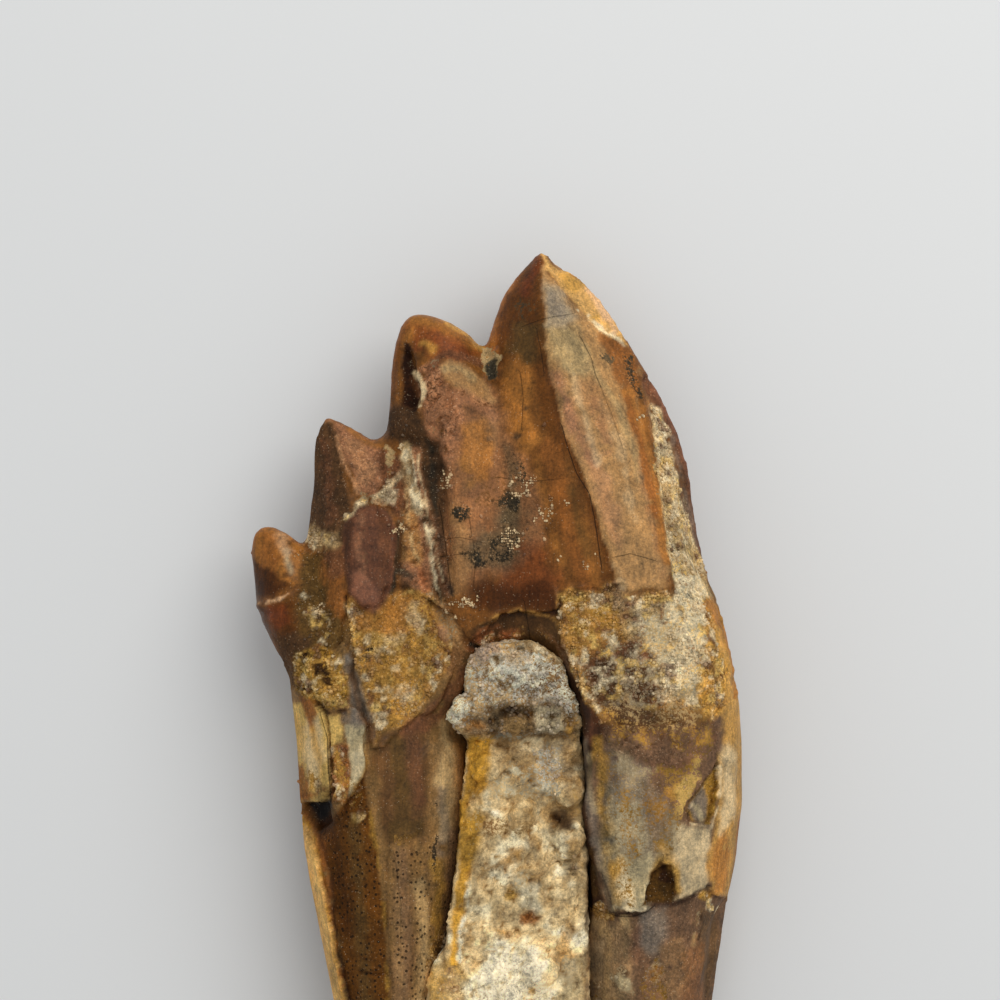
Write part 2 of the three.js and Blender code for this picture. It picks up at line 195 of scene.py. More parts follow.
def raise_area(height, soft, patchy, *places):
    """Lift the surface inside an outline by millimetres, or sink it where the height is negative."""
    return Relief(height, soft, patchy, 0, pairs(places))


def raise_line(height, soft, patchy, width, *places):
    """Lift or sink the surface as far as `width` from a line."""
    return Relief(height, soft, patchy, width, pairs(places))


def crack(width, *places):
    """A crack along a line, and half its width."""
    return width, pairs(places)


def outline(*places):
    """An outline in millimetres from the frame's origin."""
    return np.array(pairs(places), float)


TOOTH_PAINT = [
    # Ground of the two roots
    area("root_tan", "satin", 1, 0.5, 0, 280, 640, 480, 640, 480, 1300, 280, 1300),
    area("root_mauve", "satin", 1, 0.5, 0, 560, 600, 760, 600, 760, 1320, 560, 1320),
    # Enamel of the main cusp and the crown, and the arch over the matrix
    area("enamel_brown", "gloss", 1, 0.3, 0, 240, 541, 250, 515, 290, 520, 306, 500, 300, 470, 320, 405,
         350, 410, 378, 435, 376, 380, 395, 315, 421, 303, 460, 318, 484, 344, 490, 330, 500, 285, 540, 240,
         610, 290, 660, 375, 705, 480, 716, 580, 669, 590, 624, 595, 609, 582, 596, 591, 557, 592, 556, 620,
         500, 640, 468, 650, 440, 615, 430, 590, 389, 611, 374, 618, 345, 600, 330, 650, 292, 668, 240, 640),
    area("enamel_dark", "gloss", 0.9, 0.7, 0, 541, 255, 541, 330, 532, 334, 514, 342, 500, 385, 490, 360,
         490, 320, 508, 280),
    line("rust", "gloss", 0.9, 0.35, 0, 0.5, 520, 270, 507, 289, 498, 308, 493, 328, 491, 350),
    line("enamel_orange", "gloss", 0.6, 0.25, 0.1, 0.2, 513, 278, 500, 300, 493, 324, 491, 344),
    line("enamel_red", "gloss", 0.8, 0.5, 0, 0.5, 538, 262, 531, 276, 524, 292),
    line("ivory", "satin", 0.5, 0.15, 0.5, 0.12, 528, 279, 535, 275),
    area("stain_black", "satin", 0.75, 0.5, 0.4, 518, 303, 528, 298, 538, 302, 538, 314, 526, 320, 515, 326),
    area("enamel_olive", "gloss", 0.9, 0.5, 0, 514, 324, 542, 322, 547, 345, 543, 364, 522, 368, 508, 352),
    area("enamel_orange", "gloss", 0.9, 0.5, 0, 504, 370, 516, 356, 530, 366, 534, 388, 528, 410, 538, 440,
         524, 458, 508, 446, 500, 405),
    area("enamel_dark", "gloss", 0.75, 0.6, 0, 540, 320, 548, 352, 556, 392, 568, 440, 560, 462, 546, 430,
         536, 396, 532, 360),
    area("enamel_tan", "satin", 0.85, 0.9, 0, 455, 420, 470, 398, 498, 392, 508, 430, 528, 462, 542, 500,
         544, 540, 520, 560, 470, 592, 448, 578, 440, 540, 440, 470),
    area("facet_tan", "satin", 0.55, 0.7, 0, 440, 508, 454, 502, 464, 524, 474, 556, 470, 590, 452, 590,
         440, 550),
    area("facet_tan", "satin", 0.45, 0.8, 0, 470, 420, 492, 410, 500, 440, 490, 462, 470, 455),
    area("rust", "satin", 0.6, 0.5, 0.4, 476, 452, 500, 448, 506, 490, 494, 512, 476, 500, 468, 476),
    line("rust", "gloss", 0.75, 0.5, 0, 0.9, 548, 450, 560, 500, 574, 545, 586, 582),
    line("enamel_dark", "gloss", 0.85, 0.35, 0, 0.5, 548, 365, 558, 412, 574, 462, 590, 502, 602, 545,
         614, 584),
    line("enamel_orange", "gloss", 0.5, 0.4, 0.2, 0.35, 536, 462, 546, 510, 560, 560),
    line("enamel_orange", "gloss", 0.5, 0.4, 0, 0.5, 580, 524, 590, 560, 596, 584),
    line("enamel_olive", "gloss", 0.5, 0.4, 0, 0.4, 570, 490, 578, 522, 586, 552),
    area("enamel_red", "gloss", 0.6, 1, 0, 504, 550, 520, 538, 542, 546, 560, 575, 556, 600, 520, 600,
         500, 586),
    area("enamel_black", "gloss", 0.9, 0.8, 0, 464, 584, 490, 574, 512, 584, 548, 578, 562, 600, 556, 617,
         520, 607, 490, 612, 474, 604),
    area("enamel_red", "satin", 0.4, 0.35, 0.4, 466, 570, 490, 564, 508, 560, 506, 590, 476, 598),
    area("arch_olive", "gloss", 0.95, 0.25, 0, 480, 622, 496, 613, 520, 609, 556, 617, 562, 652, 470, 652,
         470, 630),
    line("ochre", "satin", 0.8, 0.15, 0.2, 0.15, 482, 622, 496, 613, 520, 609, 540, 612, 557, 618),
    line("plum_brown", "rough", 0.7, 0.3, 0.3, 0.5, 540, 628, 556, 640, 562, 655),
    area("brick", "sandy", 0.9, 0.5, 0.15, 474, 634, 486, 626, 500, 624, 514, 634, 512, 648, 490, 652,
         470, 652),
    line("ochre", "rough", 0.6, 0.2, 0.5, 0.3, 520, 632, 533, 630, 545, 636),
    area("ochre", "sandy", 0.85, 0.4, 0.4, 482, 632, 500, 628, 514, 636, 508, 646, 488, 648),
    area("stain_grey", "satin", 0.8, 0.9, 0.1, 468, 546, 476, 532, 492, 522, 498, 506, 512, 500, 526, 512,
         524, 548, 512, 566, 490, 570, 474, 562),
    area("stain_black", "rough", 0.95, 0.5, 0.35, 503, 456, 514, 452, 521, 462, 527, 474, 519, 482, 508, 471),
    line("stain_grey", "rough", 0.7, 0.5, 0.2, 0.5, 506, 448, 514, 470, 514, 500, 506, 520),
    area("stain_black", "rough", 0.95, 0.5, 0.35, 494, 500, 508, 494, 520, 500, 519, 514, 505, 512, 496, 509),
    area("stain_black", "rough", 0.95, 0.4, 0.35, 452, 511, 460, 507, 468, 509, 471, 518, 463, 523, 455, 518),
    area("stain_black", "rough", 0.95, 0.6, 0.5, 500, 516, 512, 518, 522, 530, 516, 556, 506, 562, 486, 566,
         480, 556, 492, 532),
    line("stain_black", "rough", 0.8, 0.4, 0.4, 0.35, 466, 552, 482, 561),
    line("stain_black", "satin", 0.8, 0.25, 0.1, 0.28, 515, 439, 520, 436),
    line("stain_black", "satin", 0.7, 0.25, 0.1, 0.2, 526, 411),
    area("stain_grey", "satin", 0.35, 0.6, 0.1, 460, 450, 480, 450, 484, 490, 464, 492),
    line("stain_grey", "satin", 0.8, 0.35, 0.1, 0.35, 466, 458, 470, 470, 472, 486),
    # Worn facet of the main cusp
    area("facet_tan", "satin", 1, 0.15, 0, 541, 258, 547, 274, 560, 284, 571, 301, 600, 332, 620, 360,
         636, 395, 644, 440, 650, 480, 655, 510, 663, 545, 669, 572, 659, 588, 638, 591, 624, 594, 619, 586,
         612, 578, 604, 550, 594, 508, 580, 472, 562, 430, 556, 400, 547, 365, 543, 320),
    area("facet_olive", "satin", 0.9, 0.7, 0, 544, 326, 572, 324, 590, 348, 588, 376, 570, 384, 553, 360),
    area("facet_grey", "satin", 1, 0.45, 0, 543, 280, 556, 287, 566, 298, 575, 318, 568, 330, 545, 328),
    area("blue_grey", "satin", 0.65, 0.4, 0.1, 545, 292, 558, 293, 567, 306, 564, 320, 547, 318),
    area("facet_pink", "satin", 0.75, 0.6, 0, 550, 368, 566, 380, 574, 410, 590, 440, 606, 480, 620, 520,
         618, 556, 606, 530, 590, 480, 566, 430),
    line("plum_pale", "satin", 0.5, 0.5, 0.2, 0.4, 556, 378, 570, 420, 590, 462),
    line("plum_pale", "satin", 0.4, 0.4, 0.2, 0.4, 594, 400, 602, 430, 606, 450),
    line("ivory", "satin", 0.4, 0.35, 0.1, 0.3, 573, 378, 578, 405, 588, 436, 597, 462),
    line("ivory", "satin", 0.25, 0.35, 0.2, 0.3, 602, 402, 616, 440, 626, 480, 632, 520),
    area("enamel_tan", "satin", 0.4, 0.8, 0, 574, 380, 600, 380, 616, 420, 600, 430, 584, 410),
    line("facet_olive", "satin", 0.6, 0.35, 0, 0.4, 590, 368, 614, 402, 628, 440, 640, 480),
    line("rust", "satin", 0.5, 0.5, 0.1, 0.5, 604, 340, 620, 372, 630, 404, 638, 440),
    line("enamel_tan", "satin", 0.6, 0.4, 0.1, 0.5, 640, 460, 648, 500, 656, 545, 660, 575),
    area("facet_tan", "satin", 0.8, 0.6, 0.1, 612, 548, 640, 544, 660, 552, 662, 586, 628, 592),
    line("ivory", "satin", 0.35, 0.4, 0.2, 0.4, 612, 566, 618, 584),
    # Chipped edge beside the tip
    area("chip_amber", "satin", 0.95, 0.15, 0, 541, 250, 552, 262, 560, 270, 592, 278, 606, 300, 628, 345,
         600, 332, 571, 301, 556, 280, 546, 270),
    area("chip_gold", "gloss", 0.8, 0.3, 0, 556, 272, 576, 274, 586, 284, 576, 296, 566, 290),
    area("chip_pale", "satin", 0.85, 0.3, 0.1, 588, 280, 602, 298, 616, 322, 606, 322, 594, 302, 584, 290),
    line("rust", "gloss", 0.6, 0.15, 0.1, 0.15, 572, 275, 582, 280),
    line("white", "satin", 0.85, 0.12, 0.2, 0.16, 588, 316, 600, 329, 614, 334, 624, 345),
    line("chip_pale", "satin", 0.7, 0.2, 0.1, 0.3, 604, 318, 616, 330),
    line("white", "satin", 0.8, 0.1, 0.3, 0.12, 572, 312, 578, 311),
    line("chip_gold", "gloss", 0.8, 0.15, 0.1, 0.2, 590, 318, 598, 317),
    line("stain_grey", "satin", 0.8, 0.2, 0.35, 0.22, 572, 293, 577, 292),
    # Right edge of the crown
    area("enamel_brown", "gloss", 0.7, 0.4, 0, 600, 335, 624, 345, 640, 368, 634, 404, 620, 384, 606, 358),
    area("rust", "gloss", 0.5, 0.4, 0, 600, 335, 624, 345, 640, 368, 634, 404, 620, 384, 606, 358),
    area("stain_black", "rough", 0.85, 0.5, 0.4, 620, 352, 630, 358, 636, 380, 642, 398, 632, 402, 624, 380),
    line("stain_grey", "satin", 0.8, 0.2, 0.4, 0.3, 602, 358, 607, 362),
    line("facet_tan", "satin", 0.7, 0.3, 0.1, 0.35, 638, 370, 648, 388, 654, 404),
    line("enamel_orange", "gloss", 0.9, 0.25, 0, 0.55, 626, 392, 640, 432, 650, 480, 658, 527, 666, 560),
    line("rust", "gloss", 0.85, 0.2, 0.1, 0.3, 626, 400, 637, 436, 646, 478, 654, 520),
    area("enamel_orange", "gloss", 0.6, 0.3, 0.1, 636, 400, 648, 404, 656, 442, 648, 440, 641, 425),
    line("plum_brown", "satin", 0.98, 0.25, 0, 0.85, 648, 380, 662, 404, 680, 440, 692, 480, 699, 530,
         705, 572),
    line("plum_pale", "satin", 0.7, 0.3, 0, 0.35, 654, 386, 668, 412, 684, 448, 694, 490),
    line("blue_grey", "satin", 0.5, 0.25, 0.1, 0.3, 672, 440, 682, 480, 690, 520, 698, 556),
    area("sand_grey", "sandy", 1, 0.15, 0, 652, 410, 662, 434, 673, 462, 684, 511, 694, 539, 703, 567,
         712, 600, 690, 612, 674, 600, 669, 565, 663, 530, 658, 490, 654, 450),
    area("ivory", "sandy", 0.9, 0.5, 0.55, 652, 410, 664, 434, 682, 500, 690, 540, 668, 548, 658, 480),
    line("ochre", "sandy", 0.5, 0.3, 0.6, 0.3, 660, 470, 668, 510, 676, 545),
    line("ivory", "sandy", 1, 0.3, 0.1, 0.6, 654, 412, 660, 432, 666, 456, 672, 476),
    area("white", "sandy", 0.75, 0.3, 0.55, 668, 548, 682, 545, 700, 565, 710, 596, 704, 626, 690, 616,
         672, 596),
    # Second cusp, with its hollow
    area("enamel_orange", "gloss", 0.9, 0.4, 0, 421, 306, 455, 320, 482, 345, 476, 354, 452, 341, 430, 334,
         410, 340, 400, 350, 400, 322),
    area("enamel_red", "gloss", 0.7, 0.5, 0, 416, 326, 440, 330, 466, 344, 480, 356, 460, 362, 436, 356,
         414, 352),
    line("chip_gold", "gloss", 0.7, 0.25, 0, 0.3, 448, 324, 466, 333, 480, 347),
    line("chip_gold", "gloss", 0.6, 0.3, 0, 0.4, 424, 345, 432, 350),
    line("rust", "gloss", 0.9, 0.3, 0, 0.6, 404, 326, 396, 345, 390, 375, 386, 400),
    line("enamel_dark", "satin", 0.6, 0.3, 0, 0.3, 400, 345, 396, 372, 391, 398),
    # Painted shade inside the second cusp's hollow
    area("cavity", "rough", 1, 0.2, 0, 406, 342, 412, 346, 413, 360, 420, 376, 424, 392, 419, 408, 408, 420,
         402, 408, 404, 380, 402, 358),
    line("enamel_dark", "gloss", 0.7, 0.25, 0, 0.25, 414, 380, 419, 396),
    area("mauve", "rough", 0.9, 0.4, 0.1, 418, 372, 432, 364, 442, 368, 448, 384, 460, 400, 464, 420,
         460, 446, 448, 470, 436, 460, 428, 440, 424, 410),
    area("plum_brown", "rough", 0.8, 0.4, 0.6, 424, 370, 440, 370, 450, 388, 458, 412, 452, 440, 438, 440,
         430, 414),
    line("sand_grey", "rough", 0.6, 0.2, 0.5, 0.5, 430, 424, 436, 436, 446, 452, 450, 468),
    area("facet_tan", "satin", 0.85, 0.3, 0, 440, 366, 452, 360, 470, 368, 486, 384, 496, 402, 486, 408,
         466, 394, 448, 382),
    line("facet_olive", "satin", 0.6, 0.3, 0, 0.4, 446, 370, 460, 370, 474, 380),
    line("mauve", "satin", 0.7, 0.4, 0, 0.6, 456, 396, 476, 402, 492, 416),
    line("enamel_red", "satin", 0.6, 0.25, 0.3, 0.25, 452, 386, 470, 400, 490, 408),
    area("enamel_orange", "satin", 0.75, 0.5, 0.1, 462, 424, 480, 418, 496, 440, 488, 480, 470, 490,
         462, 460),
    line("plum_brown", "rough", 0.85, 0.2, 0.2, 0.35, 434, 368, 442, 358, 452, 354, 468, 360, 482, 364),
    line("ivory", "rough", 0.6, 0.12, 0.5, 0.12, 435, 366, 444, 356, 454, 352),
    area("umber", "rough", 0.95, 0.3, 0, 386, 410, 398, 404, 412, 408, 424, 420, 430, 442, 420, 450, 404, 446,
         388, 436),
    line("ivory", "satin", 0.98, 0.12, 0.1, 0.22, 416, 374, 421, 382, 425, 392, 421, 406),
    line("white", "rough", 0.5, 0.1, 0.5, 0.1, 404, 345, 402, 362, 401, 380, 402, 400),
    line("white", "rough", 0.7, 0.1, 0.5, 0.14, 411, 352, 412, 366),
    area("white", "rough", 0.7, 0.2, 0.75, 386, 392, 402, 388, 410, 410, 424, 424, 416, 440, 398, 436,
         388, 420),
    area("sand_grey", "rough", 0.95, 0.2, 0.45, 482, 348, 494, 352, 500, 362, 498, 376, 488, 374, 480, 362),
    area("stain_black", "rough", 0.95, 0.15, 0.3, 487, 366, 496, 362, 500, 376, 490, 380),
    # Third cusp, with the plum lobe and its veins
    area("umber", "rough", 0.95, 0.3, 0, 306, 530, 311, 480, 312, 430, 322, 418, 334, 426, 340, 450, 346, 480,
         352, 510, 346, 545),
    line("plum_brown", "rough", 0.6, 0.4, 0.2, 0.5, 322, 440, 330, 480, 334, 520),
    line("mauve", "rough", 0.8, 0.25, 0.3, 0.35, 324, 420, 332, 418, 342, 424),
    area("mauve", "rough", 0.95, 0.3, 0, 334, 424, 344, 420, 360, 430, 380, 446, 386, 480, 378, 496, 362, 492,
         348, 462),
    area("facet_pink", "rough", 0.6, 0.4, 0.1, 344, 438, 360, 440, 378, 470, 370, 488, 358, 480),
    area("plum_brown", "rough", 0.9, 0.3, 0.1, 378, 446, 402, 460, 405, 480, 404, 520, 392, 512, 384, 500,
         380, 470),
    line("enamel_orange", "gloss", 0.85, 0.25, 0, 0.3, 350, 428, 362, 440, 376, 446, 384, 444),
    line("sand_grey", "rough", 0.8, 0.2, 0.3, 0.4, 386, 446, 394, 452, 392, 462),
    line("facet_pink", "rough", 0.9, 0.12, 0.1, 0.2, 338, 438, 343, 456, 350, 474, 360, 492),
    line("ivory", "rough", 0.85, 0.3, 0.1, 0.3, 350, 518, 361, 507, 375, 498, 386, 490, 396, 480, 404, 474),
    area("ivory", "grainy", 0.8, 0.6, 0.5, 346, 520, 366, 496, 396, 470, 408, 476, 390, 504, 366, 514),
    line("facet_pink", "rough", 0.7, 0.12, 0.35, 0.2, 372, 498, 382, 508, 390, 522),
    area("plum", "satin", 1, 0.2, 0, 346, 524, 360, 508, 376, 504, 390, 514, 397, 528, 397, 566, 391, 590,
         388, 604, 376, 614, 362, 606, 350, 590, 344, 560),
    # Painted shade along the plum lobe's left edge
    line("plum_dark", "gloss", 0.7, 0.3, 0.1, 0.35, 350, 526, 348, 556, 352, 580),
    line("plum_brown", "satin", 0.7, 0.4, 0, 0.5, 384, 520, 386, 556, 382, 590),
    line("mauve", "satin", 0.4, 0.3, 0.1, 0.3, 362, 516, 360, 550, 366, 580),
    area("plum_pale", "gloss", 0.4, 0.35, 0.1, 352, 570, 366, 574, 380, 590, 380, 606, 364, 602, 353, 588),
    line("plum_pale", "satin", 0.4, 0.35, 0.3, 0.3, 364, 522, 370, 560),
    line("stain_black", "rough", 0.9, 0.14, 0.1, 0.16, 406, 478, 405, 500, 400, 526, 398, 566, 392, 592),
    line("sand_grey", "grainy", 0.8, 0.5, 0.1, 0.7, 308, 532, 318, 540, 336, 544),
    line("white", "grainy", 0.85, 0.4, 0.65, 0.5, 306, 536, 318, 546, 326, 552),
    # Fourth cusp
    area("enamel_orange", "gloss", 0.95, 0.5, 0.1, 246, 541, 256, 522, 280, 522, 296, 536, 304, 556, 306, 580,
         286, 590, 270, 580, 256, 575, 248, 560),
    line("rust", "gloss", 0.9, 0.25, 0, 0.35, 250, 560, 252, 535, 262, 524, 280, 524),
    area("rust", "gloss", 0.6, 0.4, 0, 262, 530, 276, 534, 282, 560, 272, 585, 260, 572),
    # Painted highlight on the fourth cusp, in ivory and pale lines
    line("ivory", "gloss", 0.75, 0.35, 0, 0.3, 287, 550, 290, 562, 294, 572),
    line("chip_pale", "gloss", 0.5, 0.4, 0, 0.5, 280, 534, 288, 552),
    area("enamel_black", "gloss", 0.9, 0.45, 0, 252, 558, 262, 566, 280, 574, 292, 586, 274, 598, 254, 596),
    area("enamel_dark", "gloss", 0.95, 0.4, 0, 252, 606, 270, 605, 296, 598, 304, 625, 298, 645, 284, 655,
         264, 630),
    area("enamel_red", "gloss", 0.7, 0.4, 0, 262, 608, 288, 604, 294, 622, 276, 630),
    area("enamel_olive", "rough", 0.95, 0.5, 0, 304, 556, 330, 552, 340, 570, 344, 600, 346, 640, 326, 656,
         300, 648, 296, 610),
    area("rust", "satin", 0.7, 0.4, 0.2, 322, 560, 342, 556, 347, 590, 344, 620, 330, 604),
    area("plum_brown", "rough", 0.8, 0.4, 0.1, 324, 552, 345, 545, 348, 572, 332, 580),
    line("ochre", "sandy", 0.7, 0.9, 0.8, 1.1, 298, 590, 316, 612, 320, 636),
    line("chip_pale", "rough", 0.8, 0.12, 0.1, 0.08, 260, 604, 268, 602, 280, 600, 294, 592),
    area("umber", "rough", 0.9, 0.5, 0, 274, 640, 296, 630, 314, 640, 302, 680, 290, 690),
    # Groove beside the small cusps
    area("umber", "rough", 0.9, 0.4, 0, 402, 440, 412, 444, 426, 440, 440, 442, 446, 470, 448, 520, 452, 560,
         450, 596, 440, 606, 426, 596, 404, 592, 398, 560, 404, 510),
    area("mauve", "rough", 0.8, 0.5, 0.1, 404, 444, 420, 446, 428, 500, 436, 560, 430, 592, 404, 580),
    area("ochre", "rough", 0.5, 0.4, 0.1, 404, 510, 416, 510, 424, 550, 420, 566, 402, 560),
    line("brick", "rough", 0.5, 0.4, 0.1, 0.4, 420, 570, 432, 596, 446, 610),
    area("stain_black", "rough", 0.85, 0.4, 0.1, 427, 440, 435, 446, 439, 470, 439, 500, 434, 506, 428, 480),
    line("mauve", "rough", 0.8, 0.4, 0.1, 0.4, 436, 520, 442, 560, 446, 590),
    line("enamel_tan", "satin", 0.75, 0.4, 0.1, 0.45, 448, 478, 447, 520, 451, 552),
    line("stain_black", "rough", 0.8, 0.3, 0.2, 0.22, 436, 508, 441, 545, 444, 575, 450, 590),
    line("stain_black", "rough", 0.8, 0.2, 0.2, 0.3, 402, 570, 412, 576),
    area("ivory", "rough", 0.9, 0.6, 0.85, 404, 440, 424, 440, 440, 480, 452, 560, 450, 610, 430, 600,
         402, 580, 404, 500),
    line("sand_grey", "rough", 0.95, 0.3, 0, 0.5, 406, 446, 409, 466, 413, 488, 418, 508),
    line("white", "rough", 1, 0.2, 0, 0.28, 406, 452, 409, 470, 413, 490, 420, 512),
    line("ivory", "rough", 0.9, 0.2, 0.1, 0.12, 420, 510, 427, 530, 432, 552, 436, 580, 444, 606),
    line("sand_grey", "rough", 0.7, 0.15, 0.1, 0.1, 404, 470, 408, 500, 410, 530, 418, 560),
    line("white", "rough", 0.85, 0.12, 0.1, 0.1, 410, 448, 416, 474, 421, 508, 429, 532, 434, 556, 438, 588),
    line("ivory", "rough", 0.7, 0.12, 0.1, 0.08, 418, 456, 424, 486, 427, 512, 437, 548, 444, 580),
    line("ivory", "rough", 0.85, 0.4, 0.5, 0.3, 438, 587, 446, 612, 456, 630, 466, 640),
    # Left crust
    area("ochre", "sandy", 1, 0.2, 0, 346, 600, 352, 596, 364, 610, 376, 616, 390, 606, 398, 590, 412, 588,
         432, 596, 446, 618, 456, 640, 446, 668, 436, 690, 422, 709, 404, 726, 388, 722, 378, 742, 366, 700,
         356, 650, 348, 620),
    area("chip_gold", "sandy", 0.9, 0.5, 0.35, 356, 636, 384, 620, 410, 640, 428, 656, 424, 690, 396, 700,
         374, 680),
    area("plum_brown", "grainy", 0.5, 0.6, 0.1, 432, 596, 450, 606, 470, 650, 460, 672, 440, 664, 440, 630),
    area("sand_grey", "sandy", 0.8, 0.6, 0.5, 348, 612, 358, 632, 364, 660, 372, 700, 362, 690, 352, 650),
    area("ivory", "sandy", 0.8, 0.7, 0.55, 376, 700, 400, 690, 424, 676, 434, 690, 412, 724, 384, 724),
    area("chip_ochre", "rough", 0.5, 0.6, 0.1, 350, 604, 376, 616, 398, 592, 436, 600, 440, 640, 420, 704,
         396, 722, 378, 738, 366, 700),
    area("rust", "rough", 0.5, 0.5, 0.1, 350, 600, 366, 610, 378, 618, 400, 592, 414, 596, 410, 632, 380, 632,
         358, 628),
    area("umber", "sandy", 0.45, 0.5, 0.1, 366, 684, 386, 690, 392, 716, 380, 740, 368, 708),
    area("facet_tan", "rough", 0.75, 0.5, 0.1, 432, 592, 446, 600, 464, 632, 462, 646, 446, 640, 434, 616),
    area("ivory", "rough", 0.8, 0.5, 0.55, 434, 592, 448, 604, 462, 636, 448, 644, 436, 620),
    line("stain_black", "sandy", 0.9, 0.15, 0.5, 0.35, 364, 640, 370, 648, 372, 656),
    line("brick", "rough", 0.6, 0.3, 0.4, 0.5, 424, 600, 436, 620, 450, 646),
    line("stain_black", "rough", 0.95, 0.15, 0.1, 0.3, 472, 643, 478, 648),
    # Nodule crust
    area("chip_ochre", "sandy", 1, 0.3, 0, 296, 652, 322, 644, 348, 656, 352, 690, 337, 706, 316, 704,
         298, 690),
    area("chip_gold", "sandy", 0.85, 0.25, 0.35, 310, 660, 330, 650, 346, 680, 340, 700, 320, 690),
    # Painted shade in the holes of the nodule crust; the two dark lines below are painted shade along its
    # edges
    area("cavity", "rough", 0.95, 0.2, 0.35, 318, 664, 326, 660, 334, 670, 332, 682, 322, 678),
    line("plate_cream", "sandy", 0.8, 0.2, 0.4, 0.3, 314, 688, 328, 698, 345, 704, 349, 696),
    line("cavity", "rough", 0.9, 0.15, 0.2, 0.18, 316, 702, 332, 710, 346, 708),
    line("cavity", "rough", 0.7, 0.15, 0.4, 0.25, 302, 656, 312, 650),
    # Plates and flake on the left root
    area("blue_grey", "satin", 0.95, 0.3, 0, 345, 654, 354, 650, 362, 680, 372, 712, 378, 735, 366, 740,
         354, 722, 350, 690),
    line("root_brown", "satin", 0.7, 0.3, 0.1, 0.4, 352, 664, 360, 700, 368, 728),
    area("plate_cream", "satin", 1, 0.2, 0, 288, 709, 300, 700, 314, 702, 331, 714, 332, 760, 330, 799,
         290, 803),
    area("ivory", "satin", 0.8, 0.6, 0.1, 304, 716, 322, 716, 328, 756, 318, 790, 304, 770),
    area("rust", "satin", 0.95, 0.3, 0, 300, 694, 312, 698, 318, 712, 314, 728, 304, 714),
    area("rust", "satin", 0.5, 0.5, 0.1, 286, 712, 296, 716, 294, 756, 286, 780),
    line("chip_gold", "satin", 0.7, 0.4, 0.1, 0.3, 314, 726, 320, 748, 324, 774),
    area("chip_gold", "satin", 0.5, 0.6, 0.1, 291, 716, 306, 722, 303, 772, 292, 780),
    area("chip_gold", "rough", 0.9, 0.6, 0.35, 290, 764, 312, 772, 330, 764, 328, 797, 294, 800),
    area("rust", "rough", 0.9, 0.5, 0.1, 288, 764, 304, 762, 308, 786, 310, 800, 290, 802),
    line("rust", "rough", 0.8, 0.3, 0.1, 0.3, 290, 798, 308, 795, 326, 786),
    line("rust", "sandy", 0.8, 0.25, 0.4, 0.4, 320, 780, 326, 790),
    area("plate_cream", "satin", 0.95, 0.2, 0, 322, 714, 342, 712, 346, 738, 334, 744, 326, 736),
    area("umber", "rough", 0.5, 0.5, 0.1, 316, 778, 340, 780, 342, 802, 316, 802),
    area("rust", "sandy", 0.9, 0.3, 0.1, 331, 744, 350, 740, 353, 764, 349, 800, 334, 798),
    line("chip_gold", "sandy", 0.9, 0.5, 0.5, 0.8, 340, 752, 342, 780, 340, 796),
    line("umber", "rough", 0.8, 0.2, 0.1, 0.15, 331, 716, 330, 745, 334, 775, 331, 798),
    area("pearl", "satin", 1, 0.15, 0, 347, 722, 356, 720, 368, 724, 369, 745, 365, 768, 356, 792, 352, 806,
         350, 800, 353, 770, 350, 744),
    line("blue_grey", "satin", 0.7, 0.4, 0, 0.4, 348, 716, 360, 722),
    # Painted highlight on the flake's glossy lens
    area("white", "gloss", 0.45, 0.4, 0, 354, 750, 361, 742, 367, 750, 363, 768, 356, 780, 352, 768),
    line("chip_ochre", "satin", 0.7, 0.2, 0.1, 0.14, 368, 738, 367, 762, 356, 790),
    area("root_brown", "satin", 0.9, 0.2, 0, 364, 716, 376, 722, 376, 742, 368, 742, 366, 730),
    # Left root and its golden rim
    area("dot_brown", "dotted", 1, 0.3, 0, 316, 806, 332, 812, 346, 800, 366, 770, 371, 800, 379, 850,
         387, 905, 392, 1000, 408, 1150, 414, 1300, 370, 1260, 350, 1040, 344, 960, 336, 915, 330, 870,
         320, 840),
    line("root_olive", "dotted", 0.7, 0.5, 0.1, 0.6, 356, 820, 360, 880, 364, 950, 376, 1100),
    line("enamel_black", "dotted", 0.5, 0.5, 0.1, 0.5, 334, 830, 342, 880, 350, 930),
    line("chip_gold", "sandy", 0.7, 0.3, 0.6, 0.6, 352, 780, 364, 800, 360, 815),
    area("rim_gold", "satin", 1, 0.15, 0, 285, 812, 306, 815, 317, 832, 322, 855, 328, 885, 332, 915,
         338, 950, 344, 1000, 360, 1080, 372, 1120, 340, 1120, 322, 1000, 300, 900),
    line("rust", "satin", 0.85, 0.3, 0.1, 0.45, 306, 816, 320, 836, 326, 865, 330, 892),
    # Painted highlight along the golden rim, a thin ivory line
    line("ivory", "satin", 0.35, 0.3, 0.1, 0.2, 307, 828, 312, 850, 317, 875, 320, 910, 330, 960),
    line("chip_amber", "satin", 0.95, 0.3, 0, 0.6, 308, 836, 318, 880, 324, 920, 336, 990, 352, 1060),
    line("plate_cream", "satin", 0.5, 0.25, 0, 0.16, 310, 840, 320, 890, 326, 930, 337, 990, 352, 1060),
    line("rust", "satin", 0.8, 0.2, 0.2, 0.12, 331, 895, 338, 950, 346, 1000),
    # Painted shade in the groove beside the golden rim
    line("cavity", "satin", 0.7, 0.2, 0.1, 0.2, 322, 836, 332, 872, 336, 915, 344, 965, 352, 1010),
    # Painted shadow under the left plate's step: a dark area, brown dentine at its left end, and a black
    # hole.
    area("cavity", "satin", 0.8, 0.6, 0, 310, 800, 334, 802, 336, 822, 322, 836, 310, 820),
    area("enamel_brown", "satin", 0.9, 0.3, 0, 296, 800, 310, 802, 314, 814, 298, 812),
    area("hole", "gloss", 1, 0.25, 0, 308, 802, 320, 799, 333, 798, 332, 808, 326, 818, 319, 820, 313, 811),
